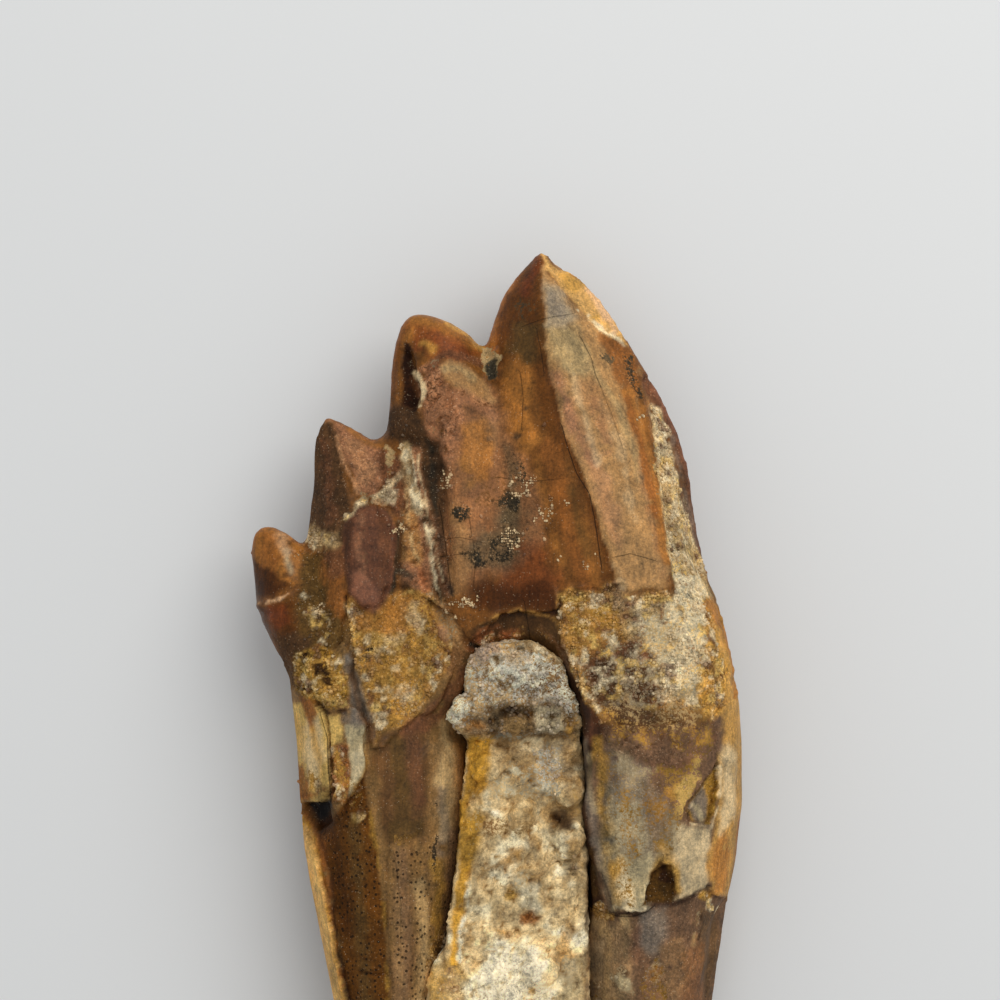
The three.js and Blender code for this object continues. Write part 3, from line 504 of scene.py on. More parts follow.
    line("chip_ochre", "satin", 0.7, 0.15, 0.2, 0.1, 371, 803, 380, 850, 384, 880, 386, 908, 390, 1000),
    line("enamel_black", "satin", 0.6, 0.2, 0.1, 0.12, 390, 838, 388, 880, 390, 930, 396, 1000),
    area("root_tan", "dotted", 0.9, 0.4, 0, 391, 836, 433, 836, 450, 900, 446, 1000, 440, 1290, 416, 1290,
         398, 1000, 394, 900),
    line("root_mauve", "dotted", 0.6, 0.6, 0, 0.8, 402, 850, 406, 920, 404, 990),
    line("sand_grey", "dotted", 0.45, 0.5, 0.1, 0.6, 420, 880, 426, 940, 424, 1000, 430, 1100),
    line("root_brown", "dotted", 0.6, 0.2, 0.2, 0.14, 412, 838, 414, 900, 412, 980),
    line("root_pale", "dotted", 0.5, 0.2, 0.2, 0.14, 398, 840, 400, 900, 402, 990),
    line("umber", "satin", 0.5, 0.2, 0.2, 0.14, 424, 838, 432, 900, 434, 960),
    line("root_pale", "satin", 0.4, 0.2, 0.2, 0.14, 398, 736, 392, 780, 394, 830),
    area("root_brown", "gloss", 0.9, 0.5, 0, 380, 730, 402, 726, 428, 712, 430, 760, 428, 812, 428, 834,
         388, 838, 380, 800, 376, 750),
    line("root_olive", "gloss", 0.8, 0.35, 0, 0.7, 396, 740, 402, 780, 404, 820),
    line("plum_brown", "satin", 0.6, 0.4, 0.1, 0.6, 412, 722, 416, 760, 420, 800),
    area("plum_brown", "satin", 0.8, 0.35, 0.1, 404, 728, 424, 708, 442, 690, 470, 660, 460, 700, 430, 730),
    area("root_olive", "gloss", 0.9, 0.25, 0, 390, 816, 426, 815, 427, 832, 390, 836),
    line("chip_gold", "sandy", 0.7, 0.2, 0.5, 0.4, 398, 836, 410, 834, 426, 822),
    area("root_pale", "satin", 0.85, 0.5, 0, 432, 745, 450, 724, 470, 714, 474, 745, 468, 800, 464, 850,
         450, 862, 436, 830),
    line("sand_grey", "satin", 0.8, 0.6, 0.1, 0.8, 450, 726, 450, 750, 447, 776),
    line("sand_grey", "satin", 0.6, 0.6, 0.1, 0.7, 449, 770, 446, 830),
    line("enamel_orange", "satin", 0.45, 0.4, 0, 0.5, 452, 730, 460, 750, 458, 780),
    line("blue_grey", "satin", 0.5, 0.4, 0.1, 0.5, 442, 790, 446, 820, 442, 850),
    line("root_mauve", "dotted", 0.7, 0.4, 0, 0.6, 456, 830, 452, 880, 446, 920, 444, 970),
    line("chip_ochre", "rough", 0.7, 0.4, 0.1, 0.5, 436, 860, 440, 890, 438, 920, 436, 950),
    line("stain_black", "rough", 0.9, 0.1, 0.35, 0.14, 437, 800, 437, 836, 435, 870),
    area("ochre", "sandy", 0.9, 0.3, 0.5, 432, 930, 446, 928, 448, 960, 440, 985, 430, 985),
    # Painted shade in a small hollow of the ochre crust
    line("cavity", "rough", 0.8, 0.2, 0.35, 0.35, 438, 940, 442, 962, 438, 982),
    line("enamel_black", "satin", 0.9, 0.3, 0, 0.45, 474, 728, 472, 760, 467, 800, 464, 850, 458, 890,
         453, 920, 450, 1000, 438, 1180),
    # Edge of the right root along the matrix
    # Painted shade in the groove between the matrix and the right root
    area("plum_dark", "gloss", 1, 0.25, 0, 562, 660, 574, 676, 588, 684, 600, 706, 603, 728, 597, 746,
         590, 772, 586, 806, 576, 800, 570, 720),
    line("plum", "gloss", 0.7, 0.3, 0, 0.5, 590, 694, 594, 716, 590, 736),
    # Painted shade further down the same groove
    area("plum_dark", "satin", 0.95, 0.25, 0, 570, 800, 582, 800, 594, 850, 602, 900, 588, 912, 584, 1000,
         580, 1250, 570, 1250),
    line("root_olive", "satin", 0.5, 0.4, 0.1, 0.4, 588, 850, 594, 890),
    line("blue_grey", "satin", 0.6, 0.3, 0, 0.45, 582, 738, 584, 780, 590, 812, 598, 850),
    line("blue_grey", "satin", 0.6, 0.3, 0, 0.35, 594, 835, 600, 862, 612, 902),
    line("pearl", "satin", 0.4, 0.3, 0, 0.3, 588, 752, 590, 790, 593, 806),
    # Right crust
    area("ochre", "sandy", 1, 0.2, 0, 557, 592, 568, 588, 596, 590, 609, 581, 624, 595, 640, 592, 665, 588,
         674, 606, 710, 596, 730, 625, 727, 670, 722, 700, 706, 722, 680, 726, 652, 722, 630, 736, 600, 719,
         584, 700, 570, 664, 558, 630),
    area("sand_grey", "sandy", 1, 0.9, 0, 620, 604, 662, 598, 690, 606, 706, 640, 700, 690, 676, 700,
         652, 676, 628, 644),
    area("plum_brown", "sandy", 1, 0.8, 0, 582, 656, 604, 640, 632, 638, 650, 654, 662, 700, 644, 730,
         606, 718, 590, 696),
    area("umber", "sandy", 0.9, 0.8, 0.1, 590, 655, 614, 646, 636, 640, 650, 656, 658, 690, 656, 722,
         620, 726, 600, 700),
    area("chip_gold", "sandy", 0.85, 0.7, 0, 704, 626, 722, 620, 732, 660, 722, 712, 696, 718, 692, 684),
    area("chip_gold", "sandy", 0.9, 0.5, 0.5, 558, 596, 600, 592, 618, 612, 614, 640, 590, 652, 570, 650),
    area("blue_grey", "sandy", 0.5, 0.6, 0.1, 606, 590, 612, 584, 624, 597, 650, 596, 656, 612, 636, 622,
         612, 606),
    area("white", "sandy", 0.95, 0.5, 0.5, 632, 612, 664, 602, 698, 612, 706, 650, 692, 700, 664, 700,
         642, 664),
    area("white", "sandy", 0.9, 0.3, 0.1, 657, 664, 672, 660, 682, 668, 676, 686, 660, 682),
    area("white", "sandy", 0.95, 0.2, 0.3, 672, 576, 700, 574, 706, 596, 702, 624, 690, 620, 676, 600),
    area("ivory", "sandy", 0.95, 0.9, 0.72, 570, 655, 604, 634, 644, 640, 668, 690, 706, 700, 694, 722,
         644, 732, 600, 718),
    area("plum_brown", "sandy", 0.85, 0.8, 0.1, 600, 718, 650, 726, 706, 716, 712, 738, 680, 750, 640, 746,
         604, 740),
    area("chip_gold", "sandy", 0.9, 0.8, 0.6, 580, 686, 604, 704, 640, 722, 676, 716, 712, 700, 706, 732,
         640, 744, 606, 730),
    area("edge_gold", "satin", 0.95, 0.35, 0, 704, 596, 735, 632, 745, 690, 748, 760, 722, 756, 720, 716,
         727, 670, 714, 640),
    line("enamel_orange", "satin", 0.8, 0.3, 0.1, 0.5, 708, 604, 722, 628, 732, 652, 738, 690),
    # Plate on the right root
    area("root_mauve", "satin", 1, 0.6, 0, 604, 726, 640, 732, 660, 724, 704, 722, 712, 756, 690, 790,
         660, 806, 620, 790, 602, 770),
    area("plum_brown", "satin", 0.6, 0.5, 0.1, 650, 728, 690, 724, 700, 752, 668, 772, 646, 760),
    area("plate_grey", "satin", 1, 0.6, 0, 600, 780, 640, 770, 664, 800, 676, 820, 690, 822, 706, 884,
         680, 890, 668, 870, 660, 856, 646, 902, 610, 908, 598, 850),
    area("blue_grey", "satin", 0.65, 0.9, 0, 602, 740, 640, 760, 660, 800, 650, 850, 606, 850),
    area("pearl", "satin", 0.5, 0.5, 0.1, 606, 734, 628, 742, 634, 770, 614, 774),
    area("pearl", "satin", 0.5, 0.6, 0.28, 614, 800, 636, 796, 650, 830, 640, 850, 614, 846),
    area("root_mauve", "satin", 0.5, 0.6, 0, 640, 776, 664, 790, 668, 830, 652, 850, 642, 810),
    area("pearl", "satin", 0.9, 0.5, 0, 612, 846, 632, 856, 648, 846, 650, 868, 640, 900, 612, 904),
    line("ivory", "satin", 0.8, 0.5, 0, 0.6, 622, 868, 626, 896),
    line("white", "satin", 0.5, 0.4, 0, 0.5, 620, 874, 626, 900),
    area("ivory", "satin", 0.8, 0.6, 0, 676, 820, 706, 820, 706, 850, 702, 872, 688, 886, 676, 884, 666, 856),
    area("ivory", "satin", 0.8, 0.3, 0, 682, 820, 708, 824, 706, 850, 684, 850),
    line("chip_gold", "satin", 0.6, 0.5, 0, 0.4, 660, 838, 670, 858, 674, 884),
    line("chip_gold", "satin", 0.5, 0.5, 0.1, 0.5, 614, 856, 612, 880, 618, 900),
    line("chip_ochre", "rough", 0.8, 0.5, 0.2, 0.5, 598, 738, 602, 780, 605, 830, 612, 868),
    area("chip_gold", "rough", 0.85, 0.8, 0.55, 600, 732, 704, 750, 690, 800, 672, 850, 648, 846, 626, 900,
         612, 896, 602, 820),
    area("chip_ochre", "rough", 0.8, 0.8, 0.6, 606, 728, 704, 720, 714, 745, 700, 770, 640, 772, 610, 750),
    area("ivory", "rough", 0.8, 0.5, 0.62, 610, 742, 632, 744, 650, 772, 638, 790, 616, 780),
    area("enamel_orange", "rough", 0.4, 0.5, 0.6, 636, 776, 664, 786, 672, 812, 650, 828, 640, 806),
    line("plate_cream", "rough", 0.7, 0.4, 0.5, 0.6, 700, 760, 684, 784, 678, 806),
    area("edge_gold", "satin", 0.95, 0.3, 0, 716, 752, 736, 740, 746, 760, 744, 830, 738, 880, 730, 897,
         708, 888, 704, 850, 712, 826),
    area("enamel_orange", "satin", 0.8, 0.5, 0.1, 708, 842, 722, 830, 730, 850, 724, 890, 710, 888),
    area("ivory", "satin", 0.8, 0.5, 0, 720, 744, 734, 744, 732, 815, 718, 828),
    line("rust", "satin", 0.85, 0.2, 0, 0.3, 740, 820, 736, 860, 731, 895),
    # Chip in that plate
    area("chip_ochre", "rough", 1, 0.1, 0, 716, 762, 700, 778, 685, 800, 683, 808, 690, 815, 709, 820,
         715, 795),
    area("blue_grey", "satin", 0.9, 0.2, 0, 700, 782, 685, 804, 692, 816, 703, 819, 705, 796),
    line("pearl", "satin", 0.5, 0.5, 0.1, 0.5, 611, 800, 611, 850),
    line("pearl", "satin", 0.8, 0.25, 0, 0.2, 692, 802, 699, 814),
    line("umber", "rough", 0.8, 0.1, 0, 0.15, 716, 760, 702, 776, 685, 800, 683, 810),
    line("ivory", "satin", 0.9, 0.1, 0.1, 0.14, 688, 817, 710, 822, 717, 800, 718, 764),
    # Lower edge of the right crust
    area("umber", "rough", 0.35, 0.6, 0.1, 588, 684, 610, 688, 630, 700, 626, 714, 604, 712, 594, 702),
    area("umber", "rough", 0.85, 0.7, 0.1, 606, 710, 650, 706, 700, 706, 702, 724, 650, 730, 608, 724),
    area("root_mauve", "rough", 0.85, 0.7, 0.1, 606, 726, 650, 728, 698, 722, 700, 742, 680, 758, 640, 756,
         606, 746),
    area("chip_gold", "rough", 0.8, 0.9, 0.48, 598, 700, 650, 704, 706, 700, 706, 730, 686, 748, 650, 740,
         606, 738),
    area("ivory", "rough", 0.45, 0.6, 0.6, 606, 700, 660, 706, 700, 702, 704, 720, 668, 728, 630, 724),
    # Notch in the plate's lower edge
    line("chip_ochre", "rough", 0.8, 0.3, 0.1, 0.35, 650, 872, 660, 852, 672, 866, 675, 884),
    area("notch", "rough", 1, 0.12, 0, 660, 853, 649, 866, 641, 898, 673, 897, 673, 872),
    # Painted shade deep in the notch
    area("cavity", "rough", 0.9, 0.15, 0.1, 661, 859, 655, 874, 670, 878),
    line("white", "satin", 0.7, 0.12, 0.1, 0.18, 612, 902, 630, 905, 645, 902),
    line("ivory", "satin", 0.7, 0.12, 0.1, 0.16, 674, 893, 687, 887, 698, 880),
    # Right root
    area("root_mauve", "satin", 1, 0.2, 0, 580, 906, 615, 909, 645, 906, 660, 898, 676, 896, 700, 888,
         715, 902, 730, 920, 725, 1320, 560, 1320),
    # Painted shadow under the right plate's lower edge
    line("plum_dark", "satin", 0.9, 0.2, 0, 0.25, 588, 904, 602, 908, 615, 910, 645, 908, 652, 900, 676, 898,
         690, 890),
    area("blue_grey", "satin", 0.8, 0.5, 0, 640, 905, 664, 902, 666, 928, 650, 955, 636, 935),
    area("root_pale", "satin", 0.85, 0.3, 0.1, 587, 912, 606, 914, 608, 932, 592, 934),
    area("facet_pink", "satin", 0.2, 0.5, 0.1, 664, 938, 690, 930, 702, 946, 688, 985, 668, 990),
    area("enamel_olive", "satin", 0.5, 0.5, 0, 698, 905, 716, 908, 720, 960, 708, 1000, 696, 950),
    line("root_pale", "satin", 0.7, 0.3, 0.2, 0.2, 607, 936, 606, 965, 603, 1010),
    line("sand_grey", "satin", 0.6, 0.3, 0.2, 0.3, 622, 914, 627, 928),
    area("blue_grey", "satin", 0.4, 0.6, 0.1, 586, 936, 602, 940, 600, 1000, 586, 1000),
    area("plum_pale", "satin", 0.45, 0.6, 0.1, 614, 926, 638, 922, 640, 955, 626, 990, 612, 960),
    area("sand_grey", "satin", 0.4, 0.8, 0, 588, 920, 630, 916, 634, 960, 626, 1010, 590, 1050),
    area("root_pale", "satin", 0.35, 0.5, 0.1, 656, 940, 680, 930, 690, 970, 672, 1000, 658, 980),
    area("rust", "satin", 0.3, 0.5, 0.2, 680, 950, 702, 940, 700, 1010, 680, 1010),
    line("ochre", "sandy", 0.9, 0.25, 0.35, 0.5, 598, 906, 610, 914),
    area("chip_ochre", "sandy", 0.95, 0.25, 0.33, 654, 946, 662, 962, 666, 984, 664, 1010, 642, 1010,
         638, 968),
    area("umber", "satin", 0.3, 0.5, 0, 632, 962, 648, 966, 650, 1000, 634, 1010),
    area("rust", "sandy", 0.9, 0.2, 0.4, 648, 956, 660, 958, 662, 974, 644, 972),
    line("pearl", "sandy", 0.95, 0.2, 0.2, 0.5, 616, 974, 624, 978),
    # Painted shade in a small hollow
    line("cavity", "rough", 0.8, 0.2, 0.1, 0.25, 618, 966, 625, 970),
    area("chip_gold", "sandy", 0.8, 0.3, 0.5, 584, 985, 600, 980, 608, 1010, 584, 1010),
    line("ivory", "sandy", 0.9, 0.2, 0.4, 0.3, 698, 910, 695, 926, 690, 940),
    # Painted shade in a thin groove
    line("cavity", "rough", 0.8, 0.15, 0.1, 0.1, 702, 912, 700, 926, 696, 936),
    line("chip_gold", "sandy", 1, 0.2, 0.1, 0.45, 700, 892, 706, 894),
    line("white", "sandy", 1, 0.2, 0.2, 0.4, 709, 900, 712, 906),
    area("ochre", "rough", 0.6, 0.6, 0.75, 600, 914, 700, 910, 704, 1000, 640, 1010, 600, 1000),
    area("ivory", "rough", 0.8, 0.3, 0.6, 612, 964, 626, 962, 630, 984, 616, 988),
    area("ochre", "rough", 0.5, 0.8, 0.6, 600, 1010, 700, 1010, 690, 1120, 620, 1150),
    area("sand_grey", "rough", 0.4, 0.8, 0.6, 600, 1150, 690, 1120, 670, 1280, 610, 1290),
    area("ochre", "rough", 0.5, 0.8, 0.6, 360, 1050, 430, 1040, 430, 1180, 390, 1230),
]

MATRIX_PAINT = [
    # Frosted crystals and their left knob
    area("root_pale", "grainy", 0.85, 0.6, 0, 468, 640, 530, 640, 560, 655, 580, 700, 582, 735, 520, 740,
         470, 730, 445, 720),
    area("umber", "grainy", 0.6, 0.8, 0.2, 500, 680, 560, 662, 576, 690, 574, 712, 540, 700, 510, 684),
    area("frost", "grainy", 0.95, 0.6, 0.52, 468, 640, 530, 640, 560, 655, 580, 700, 582, 728, 520, 735,
         470, 730, 445, 720, 448, 692),
    area("frost", "grainy", 0.9, 0.5, 0.3, 500, 650, 530, 645, 550, 660, 556, 676, 520, 684, 490, 670),
    area("frost", "grainy", 0.9, 0.3, 0.5, 449, 696, 462, 700, 472, 696, 474, 708, 462, 718, 450, 722),
    area("frost", "grainy", 0.7, 0.4, 0.6, 545, 672, 560, 676, 572, 690, 574, 706, 560, 704, 548, 690),
    area("chip_gold", "grainy", 0.5, 0.6, 0.5, 500, 644, 528, 644, 532, 660, 515, 670, 505, 660),
    area("rust", "grainy", 0.6, 0.4, 0.4, 472, 640, 498, 636, 500, 650, 484, 662, 472, 658),
    area("spar_tan", "grainy", 0.6, 0.6, 0.4, 525, 690, 560, 700, 570, 725, 545, 728, 530, 712),
    # Painted shadow under the ledge of the frosted crust, in umber and black
    area("umber", "grainy", 0.7, 0.6, 0.1, 474, 716, 484, 704, 510, 700, 540, 702, 572, 712, 576, 730,
         544, 738, 500, 742),
    area("stain_black", "grainy", 0.6, 0.5, 0.25, 480, 706, 500, 702, 522, 704, 534, 712, 525, 716, 505, 712,
         498, 724, 484, 724),
    area("umber", "grainy", 0.7, 0.6, 0.7, 500, 740, 560, 736, 574, 760, 560, 800, 520, 790, 500, 770),
    area("spar_tan", "grainy", 0.6, 0.7, 0.2, 500, 716, 520, 712, 530, 722, 524, 733, 506, 733),
    # Painted shadow along the foot of that ledge
    area("stain_black", "spar", 0.75, 0.3, 0.35, 498, 724, 514, 731, 530, 730, 534, 735, 512, 740, 496, 734),
    area("spar_grey", "grainy", 0.8, 0.4, 0.1, 532, 702, 558, 704, 564, 726, 538, 732),
    area("umber", "grainy", 0.3, 0.6, 0.1, 536, 658, 556, 660, 558, 682, 538, 682),
    area("enamel_orange", "spar", 0.8, 0.4, 0.1, 466, 714, 480, 716, 486, 728, 478, 732, 466, 728),
    area("chip_gold", "spar", 0.7, 0.4, 0.2, 562, 716, 577, 718, 578, 729, 566, 730),
    # Yellow strip along the left
    area("strip_yellow", "satin", 0.95, 0.4, 0.05, 468, 732, 494, 734, 494, 760, 486, 790, 484, 815, 478, 850,
         468, 870, 456, 870, 458, 800, 464, 770),
    area("plate_cream", "grainy", 0.9, 0.6, 0.5, 474, 734, 490, 736, 484, 800, 474, 860, 464, 850, 468, 780),
    area("white", "satin", 0.5, 0.4, 0, 468, 794, 482, 790, 484, 806, 468, 812),
    area("enamel_orange", "satin", 0.45, 0.5, 0.2, 474, 770, 486, 775, 482, 800, 466, 800),
    area("spar_cream", "spar", 0.9, 0.5, 0.2, 494, 742, 504, 752, 500, 850, 478, 884, 477, 850, 489, 812,
         488, 772),
    line("chalk", "powder", 0.35, 0.4, 0.4, 0.5, 482, 740, 484, 770, 478, 810, 470, 850),
    area("rim_gold", "satin", 0.75, 0.4, 0.1, 470, 736, 491, 738, 487, 780, 470, 790),
    area("chip_ochre", "satin", 0.65, 0.4, 0.1, 462, 808, 484, 812, 482, 850, 470, 866, 456, 860),
    # Smooth lump and the dark hollow under it
    area("spar_grey", "spar", 0.8, 0.7, 0.3, 495, 736, 570, 730, 576, 776, 540, 784, 505, 768),
    area("spar_tan", "spar", 0.6, 0.6, 0.5, 494, 742, 520, 745, 526, 758, 505, 765, 492, 760),
    area("chalk", "powder", 0.85, 0.3, 0.3, 508, 758, 524, 760, 546, 755, 550, 768, 528, 772, 510, 768),
    area("root_pale", "spar", 0.6, 0.8, 0, 498, 738, 572, 734, 578, 768, 548, 784, 520, 768, 500, 764),
    area("frost", "grainy", 0.8, 0.5, 0.5, 530, 740, 562, 742, 574, 770, 556, 790, 536, 780),
    area("chalk", "powder", 0.7, 0.5, 0.4, 487, 776, 508, 774, 514, 790, 500, 798, 488, 794),
    area("chalk", "powder", 0.4, 0.8, 0.4, 508, 782, 556, 780, 570, 796, 544, 806, 510, 800),
    area("root_tan", "spar", 0.65, 0.5, 0.1, 562, 744, 584, 748, 586, 812, 568, 812, 560, 780),
    area("spar_tan", "spar", 0.6, 0.5, 0.1, 562, 838, 584, 836, 586, 880, 564, 878),
    area("chip_gold", "spar", 0.7, 0.4, 0.3, 568, 778, 578, 778, 580, 812, 571, 812),
    line("chalk", "powder", 0.9, 0.2, 0.2, 0.3, 483, 805, 490, 809, 498, 812),
    area("ochre", "spar", 0.7, 0.5, 0.3, 474, 812, 500, 816, 536, 812, 534, 832, 505, 834, 478, 836),
    area("rust", "spar", 0.5, 0.4, 0.5, 484, 816, 498, 816, 497, 832, 485, 830),
    area("stain_black", "spar", 0.85, 0.3, 0.2, 550, 814, 558, 812, 571, 817, 568, 823, 556, 822),
    line("quartz", "spar", 0.8, 0.4, 0.1, 0.5, 545, 831, 566, 834),
    # Middle
    area("spar_tan", "spar", 0.45, 0.6, 0.2, 514, 850, 546, 850, 548, 872, 518, 874),
    area("chalk", "powder", 0.9, 0.35, 0.2, 545, 836, 556, 832, 566, 842, 564, 858, 554, 852, 546, 846),
    area("umber", "grainy", 0.65, 0.4, 0.6, 560, 850, 581, 850, 581, 872, 564, 872),
    line("ochre", "spar", 0.8, 0.35, 0.2, 0.45, 478, 866, 492, 861, 502, 856, 522, 846),
    line("enamel_olive", "spar", 0.6, 0.35, 0.3, 0.35, 480, 868, 498, 862),
    line("ochre", "spar", 0.75, 0.3, 0.3, 0.35, 500, 880, 512, 868, 524, 862, 537, 866),
    area("chip_ochre", "grainy", 0.9, 0.25, 0.2, 503, 880, 511, 882, 519, 888, 514, 895, 505, 892),
    area("chalk", "powder", 0.7, 0.3, 0.3, 507, 874, 520, 867, 534, 870, 526, 880, 514, 884),
    area("quartz", "spar", 0.95, 0.3, 0.05, 521, 882, 538, 878, 540, 894, 546, 906, 534, 910, 520, 900),
    area("enamel_olive", "spar", 0.45, 0.4, 0.3, 538, 882, 549, 884, 548, 896, 540, 894),
    area("rust", "grainy", 0.9, 0.3, 0.15, 520, 909, 530, 908, 541, 913, 534, 919, 521, 916),
    area("ochre", "grainy", 0.75, 0.4, 0.25, 500, 925, 512, 923, 524, 927, 516, 934, 504, 932),
    area("chip_gold", "spar", 0.3, 0.6, 0.4, 486, 900, 520, 900, 520, 925, 490, 925),
    # Lower end
    area("chalk", "powder", 0.9, 0.6, 0.12, 494, 930, 508, 938, 530, 938, 541, 950, 546, 1000, 552, 1100,
         548, 1300, 456, 1300, 460, 1040, 470, 1000, 484, 958),
    area("chip_ochre", "spar", 0.75, 0.5, 0.1, 430, 958, 456, 950, 468, 972, 462, 1010, 456, 1120, 430, 1120),
    area("ivory", "powder", 0.6, 0.4, 0.6, 434, 968, 456, 960, 464, 984, 456, 1060, 434, 1060),
    area("plate_grey", "spar", 0.8, 0.5, 0.1, 556, 962, 584, 950, 588, 1080, 558, 1080),
    line("chip_ochre", "spar", 0.6, 0.4, 0.5, 0.5, 574, 960, 576, 1010),
    area("chalk", "powder", 1, 0.8, 0, 498, 940, 532, 945, 546, 1000, 530, 1080, 480, 1080, 486, 990),
    area("ochre", "powder", 0.6, 0.5, 0.5, 466, 968, 494, 968, 490, 1010, 464, 1010),
    area("ochre", "grainy", 0.4, 0.5, 0.6, 505, 950, 535, 955, 532, 990, 506, 985),
    line("blue_grey", "grainy", 0.5, 0.25, 0.4, 0.35, 521, 944, 527, 946),
    area("enamel_olive", "grainy", 0.35, 0.6, 0.5, 548, 905, 581, 900, 582, 980, 560, 985),
    area("quartz", "spar", 0.5, 0.6, 0.3, 548, 958, 572, 955, 576, 985, 556, 990),
    area("strip_yellow", "satin", 0.95, 0.2, 0.05, 459, 868, 469, 862, 468, 885, 464, 905, 458, 935, 457, 960,
         451, 960, 452, 925, 454, 900),
    line("chalk", "satin", 0.8, 0.13, 0.2, 0.15, 468, 880, 467, 905, 461, 930, 459, 955),
    area("enamel_orange", "grainy", 0.55, 0.4, 0.3, 444, 962, 462, 962, 468, 985, 456, 1000, 442, 985),
    # Hollow, dark edges and the ends below
    area("umber", "spar", 0.85, 0.5, 0.1, 548, 808, 566, 804, 576, 816, 570, 826, 552, 824),
    line("umber", "satin", 0.9, 0.35, 0.1, 0.3, 586, 700, 586, 800, 588, 850, 587, 960, 588, 1250),
    line("umber", "satin", 0.7, 0.25, 0.1, 0.2, 464, 735, 457, 800, 454, 860, 447, 900, 444, 960),
    area("ochre", "grainy", 0.45, 0.8, 0.6, 470, 1060, 560, 1040, 560, 1140, 480, 1150),
    area("spar_tan", "spar", 0.5, 0.8, 0.4, 460, 1160, 580, 1160, 560, 1240, 480, 1250),
]

RELIEF = [
    raise_line(0.28, 0.7, 0, 0.3, 541, 262, 541, 280, 544, 316, 552, 340, 561, 400, 575, 455, 589, 490,
               603, 518, 610, 553, 622, 592),
    raise_line(-0.15, 0.5, 0, 0.3, 548, 370, 562, 420, 578, 468, 594, 505, 604, 540),
    raise_area(-0.9, 0.45, 0, 403, 352, 411, 353, 415, 372, 420, 394, 415, 408, 407, 408, 403, 390),
    raise_line(0.35, 0.25, 0, 0.18, 415, 374, 423, 390, 425, 402, 420, 411),
    raise_line(0.18, 0.25, 0.2, 0.2, 436, 364, 451, 357, 467, 365, 482, 374),
    raise_area(-0.25, 0.4, 0.5, 484, 352, 497, 354, 498, 378, 488, 377),
    raise_area(-0.75, 1, 0, 404, 440, 440, 436, 446, 480, 449, 530, 452, 590, 440, 606, 420, 585, 404, 560),
    raise_area(-0.5, 0.5, 0.5, 424, 440, 438, 440, 444, 500, 446, 560, 434, 560, 428, 500),
    raise_line(0.22, 0.3, 0.6, 0.18, 410, 446, 413, 465, 418, 500, 428, 530, 434, 562, 439, 591, 446, 612,
               456, 634, 468, 650),
    raise_line(-0.4, 0.3, 0, 0.15, 407, 459, 406, 490, 403, 512, 400, 526, 399, 566),
    raise_line(0.35, 0.3, 0.1, 0.15, 332, 424, 340, 444, 346, 464, 356, 488, 364, 495),
    raise_line(0.3, 0.25, 0.2, 0.15, 350, 518, 361, 507, 375, 498, 392, 487, 400, 474),
    raise_line(0.25, 0.25, 0.2, 0.15, 371, 500, 380, 506, 388, 521),
    raise_area(0.35, 0.25, 0, 352, 522, 366, 508, 378, 503, 392, 512, 400, 526, 399, 572, 393, 592, 389, 609,
               374, 619, 362, 606, 349, 590, 347, 560),
    raise_area(0.4, 0.4, 0.4, 304, 655, 322, 648, 346, 664, 352, 690, 337, 706, 314, 697),
    raise_area(-0.9, 0.4, 0, 304, 803, 328, 803, 331, 819, 318, 826, 304, 815),
    raise_area(0.3, 0.2, 0, 385, 800, 389, 836, 389, 905, 394, 1000, 410, 1150, 425, 1290, 445, 1290,
               449, 1000, 470, 860, 474, 740, 430, 740),
    raise_area(-0.25, 0.3, 0.2, 316, 828, 371, 806, 384, 880, 388, 960, 350, 960, 334, 900),
    raise_line(-0.35, 0.2, 0.1, 0.12, 360, 968, 388, 970),
    raise_line(-0.5, 0.3, 0, 0.2, 474, 640, 479, 650),
    raise_line(0.22, 0.3, 0.2, 0.3, 257, 608, 270, 602, 289, 594),
    raise_line(-0.3, 0.4, 0, 0.4, 252, 616, 272, 612, 292, 604),
    raise_line(0.2, 0.3, 0.3, 0.3, 556, 592, 570, 589, 596, 591, 609, 583),
    raise_line(-0.25, 0.35, 0.2, 0.25, 557, 585, 570, 581, 594, 583, 606, 575),
    raise_line(0.15, 0.2, 0.1, 0.12, 486, 620, 496, 612, 520, 610, 556, 616),
    raise_line(-0.35, 0.3, 0.2, 0.3, 654, 430, 664, 480, 669, 530, 676, 580),
    raise_line(0.2, 0.25, 0.1, 0.2, 719, 756, 731, 760, 730, 822),
    raise_line(-0.3, 0.5, 0, 0.8, 590, 700, 592, 740, 586, 790),
    raise_line(0.3, 0.3, 0.1, 0.25, 603, 745, 594, 772, 588, 806, 598, 850, 606, 890),
    raise_line(-0.15, 0.5, 0, 0.6, 452, 400, 462, 470, 452, 540),
    raise_line(0.6, 0.5, 0, 0.5, 592, 740, 590, 790, 594, 850, 598, 900, 592, 960, 588, 1250),
    raise_line(0.3, 0.4, 0, 0.4, 474, 740, 466, 800, 462, 860, 454, 920, 450, 1000, 440, 1180),
    raise_area(0.3, 0.3, 1, 484, 350, 500, 350, 500, 384, 486, 380),
    raise_area(0.35, 0.4, 1, 424, 370, 440, 366, 460, 400, 458, 440, 446, 468, 430, 440),
    raise_area(0.3, 0.3, 1, 404, 444, 424, 446, 436, 510, 450, 600, 430, 596, 402, 580),
    raise_area(0.25, 0.3, 1, 384, 450, 404, 462, 402, 516, 386, 504),
    raise_line(-0.25, 0.3, 0.2, 0.3, 372, 716, 378, 740, 372, 770),
    raise_line(0.35, 0.5, 0.2, 0.6, 598, 714, 640, 722, 676, 718, 706, 714),
    raise_area(0.25, 0.5, 1, 604, 720, 650, 726, 706, 718, 708, 742, 650, 752, 606, 746),
]

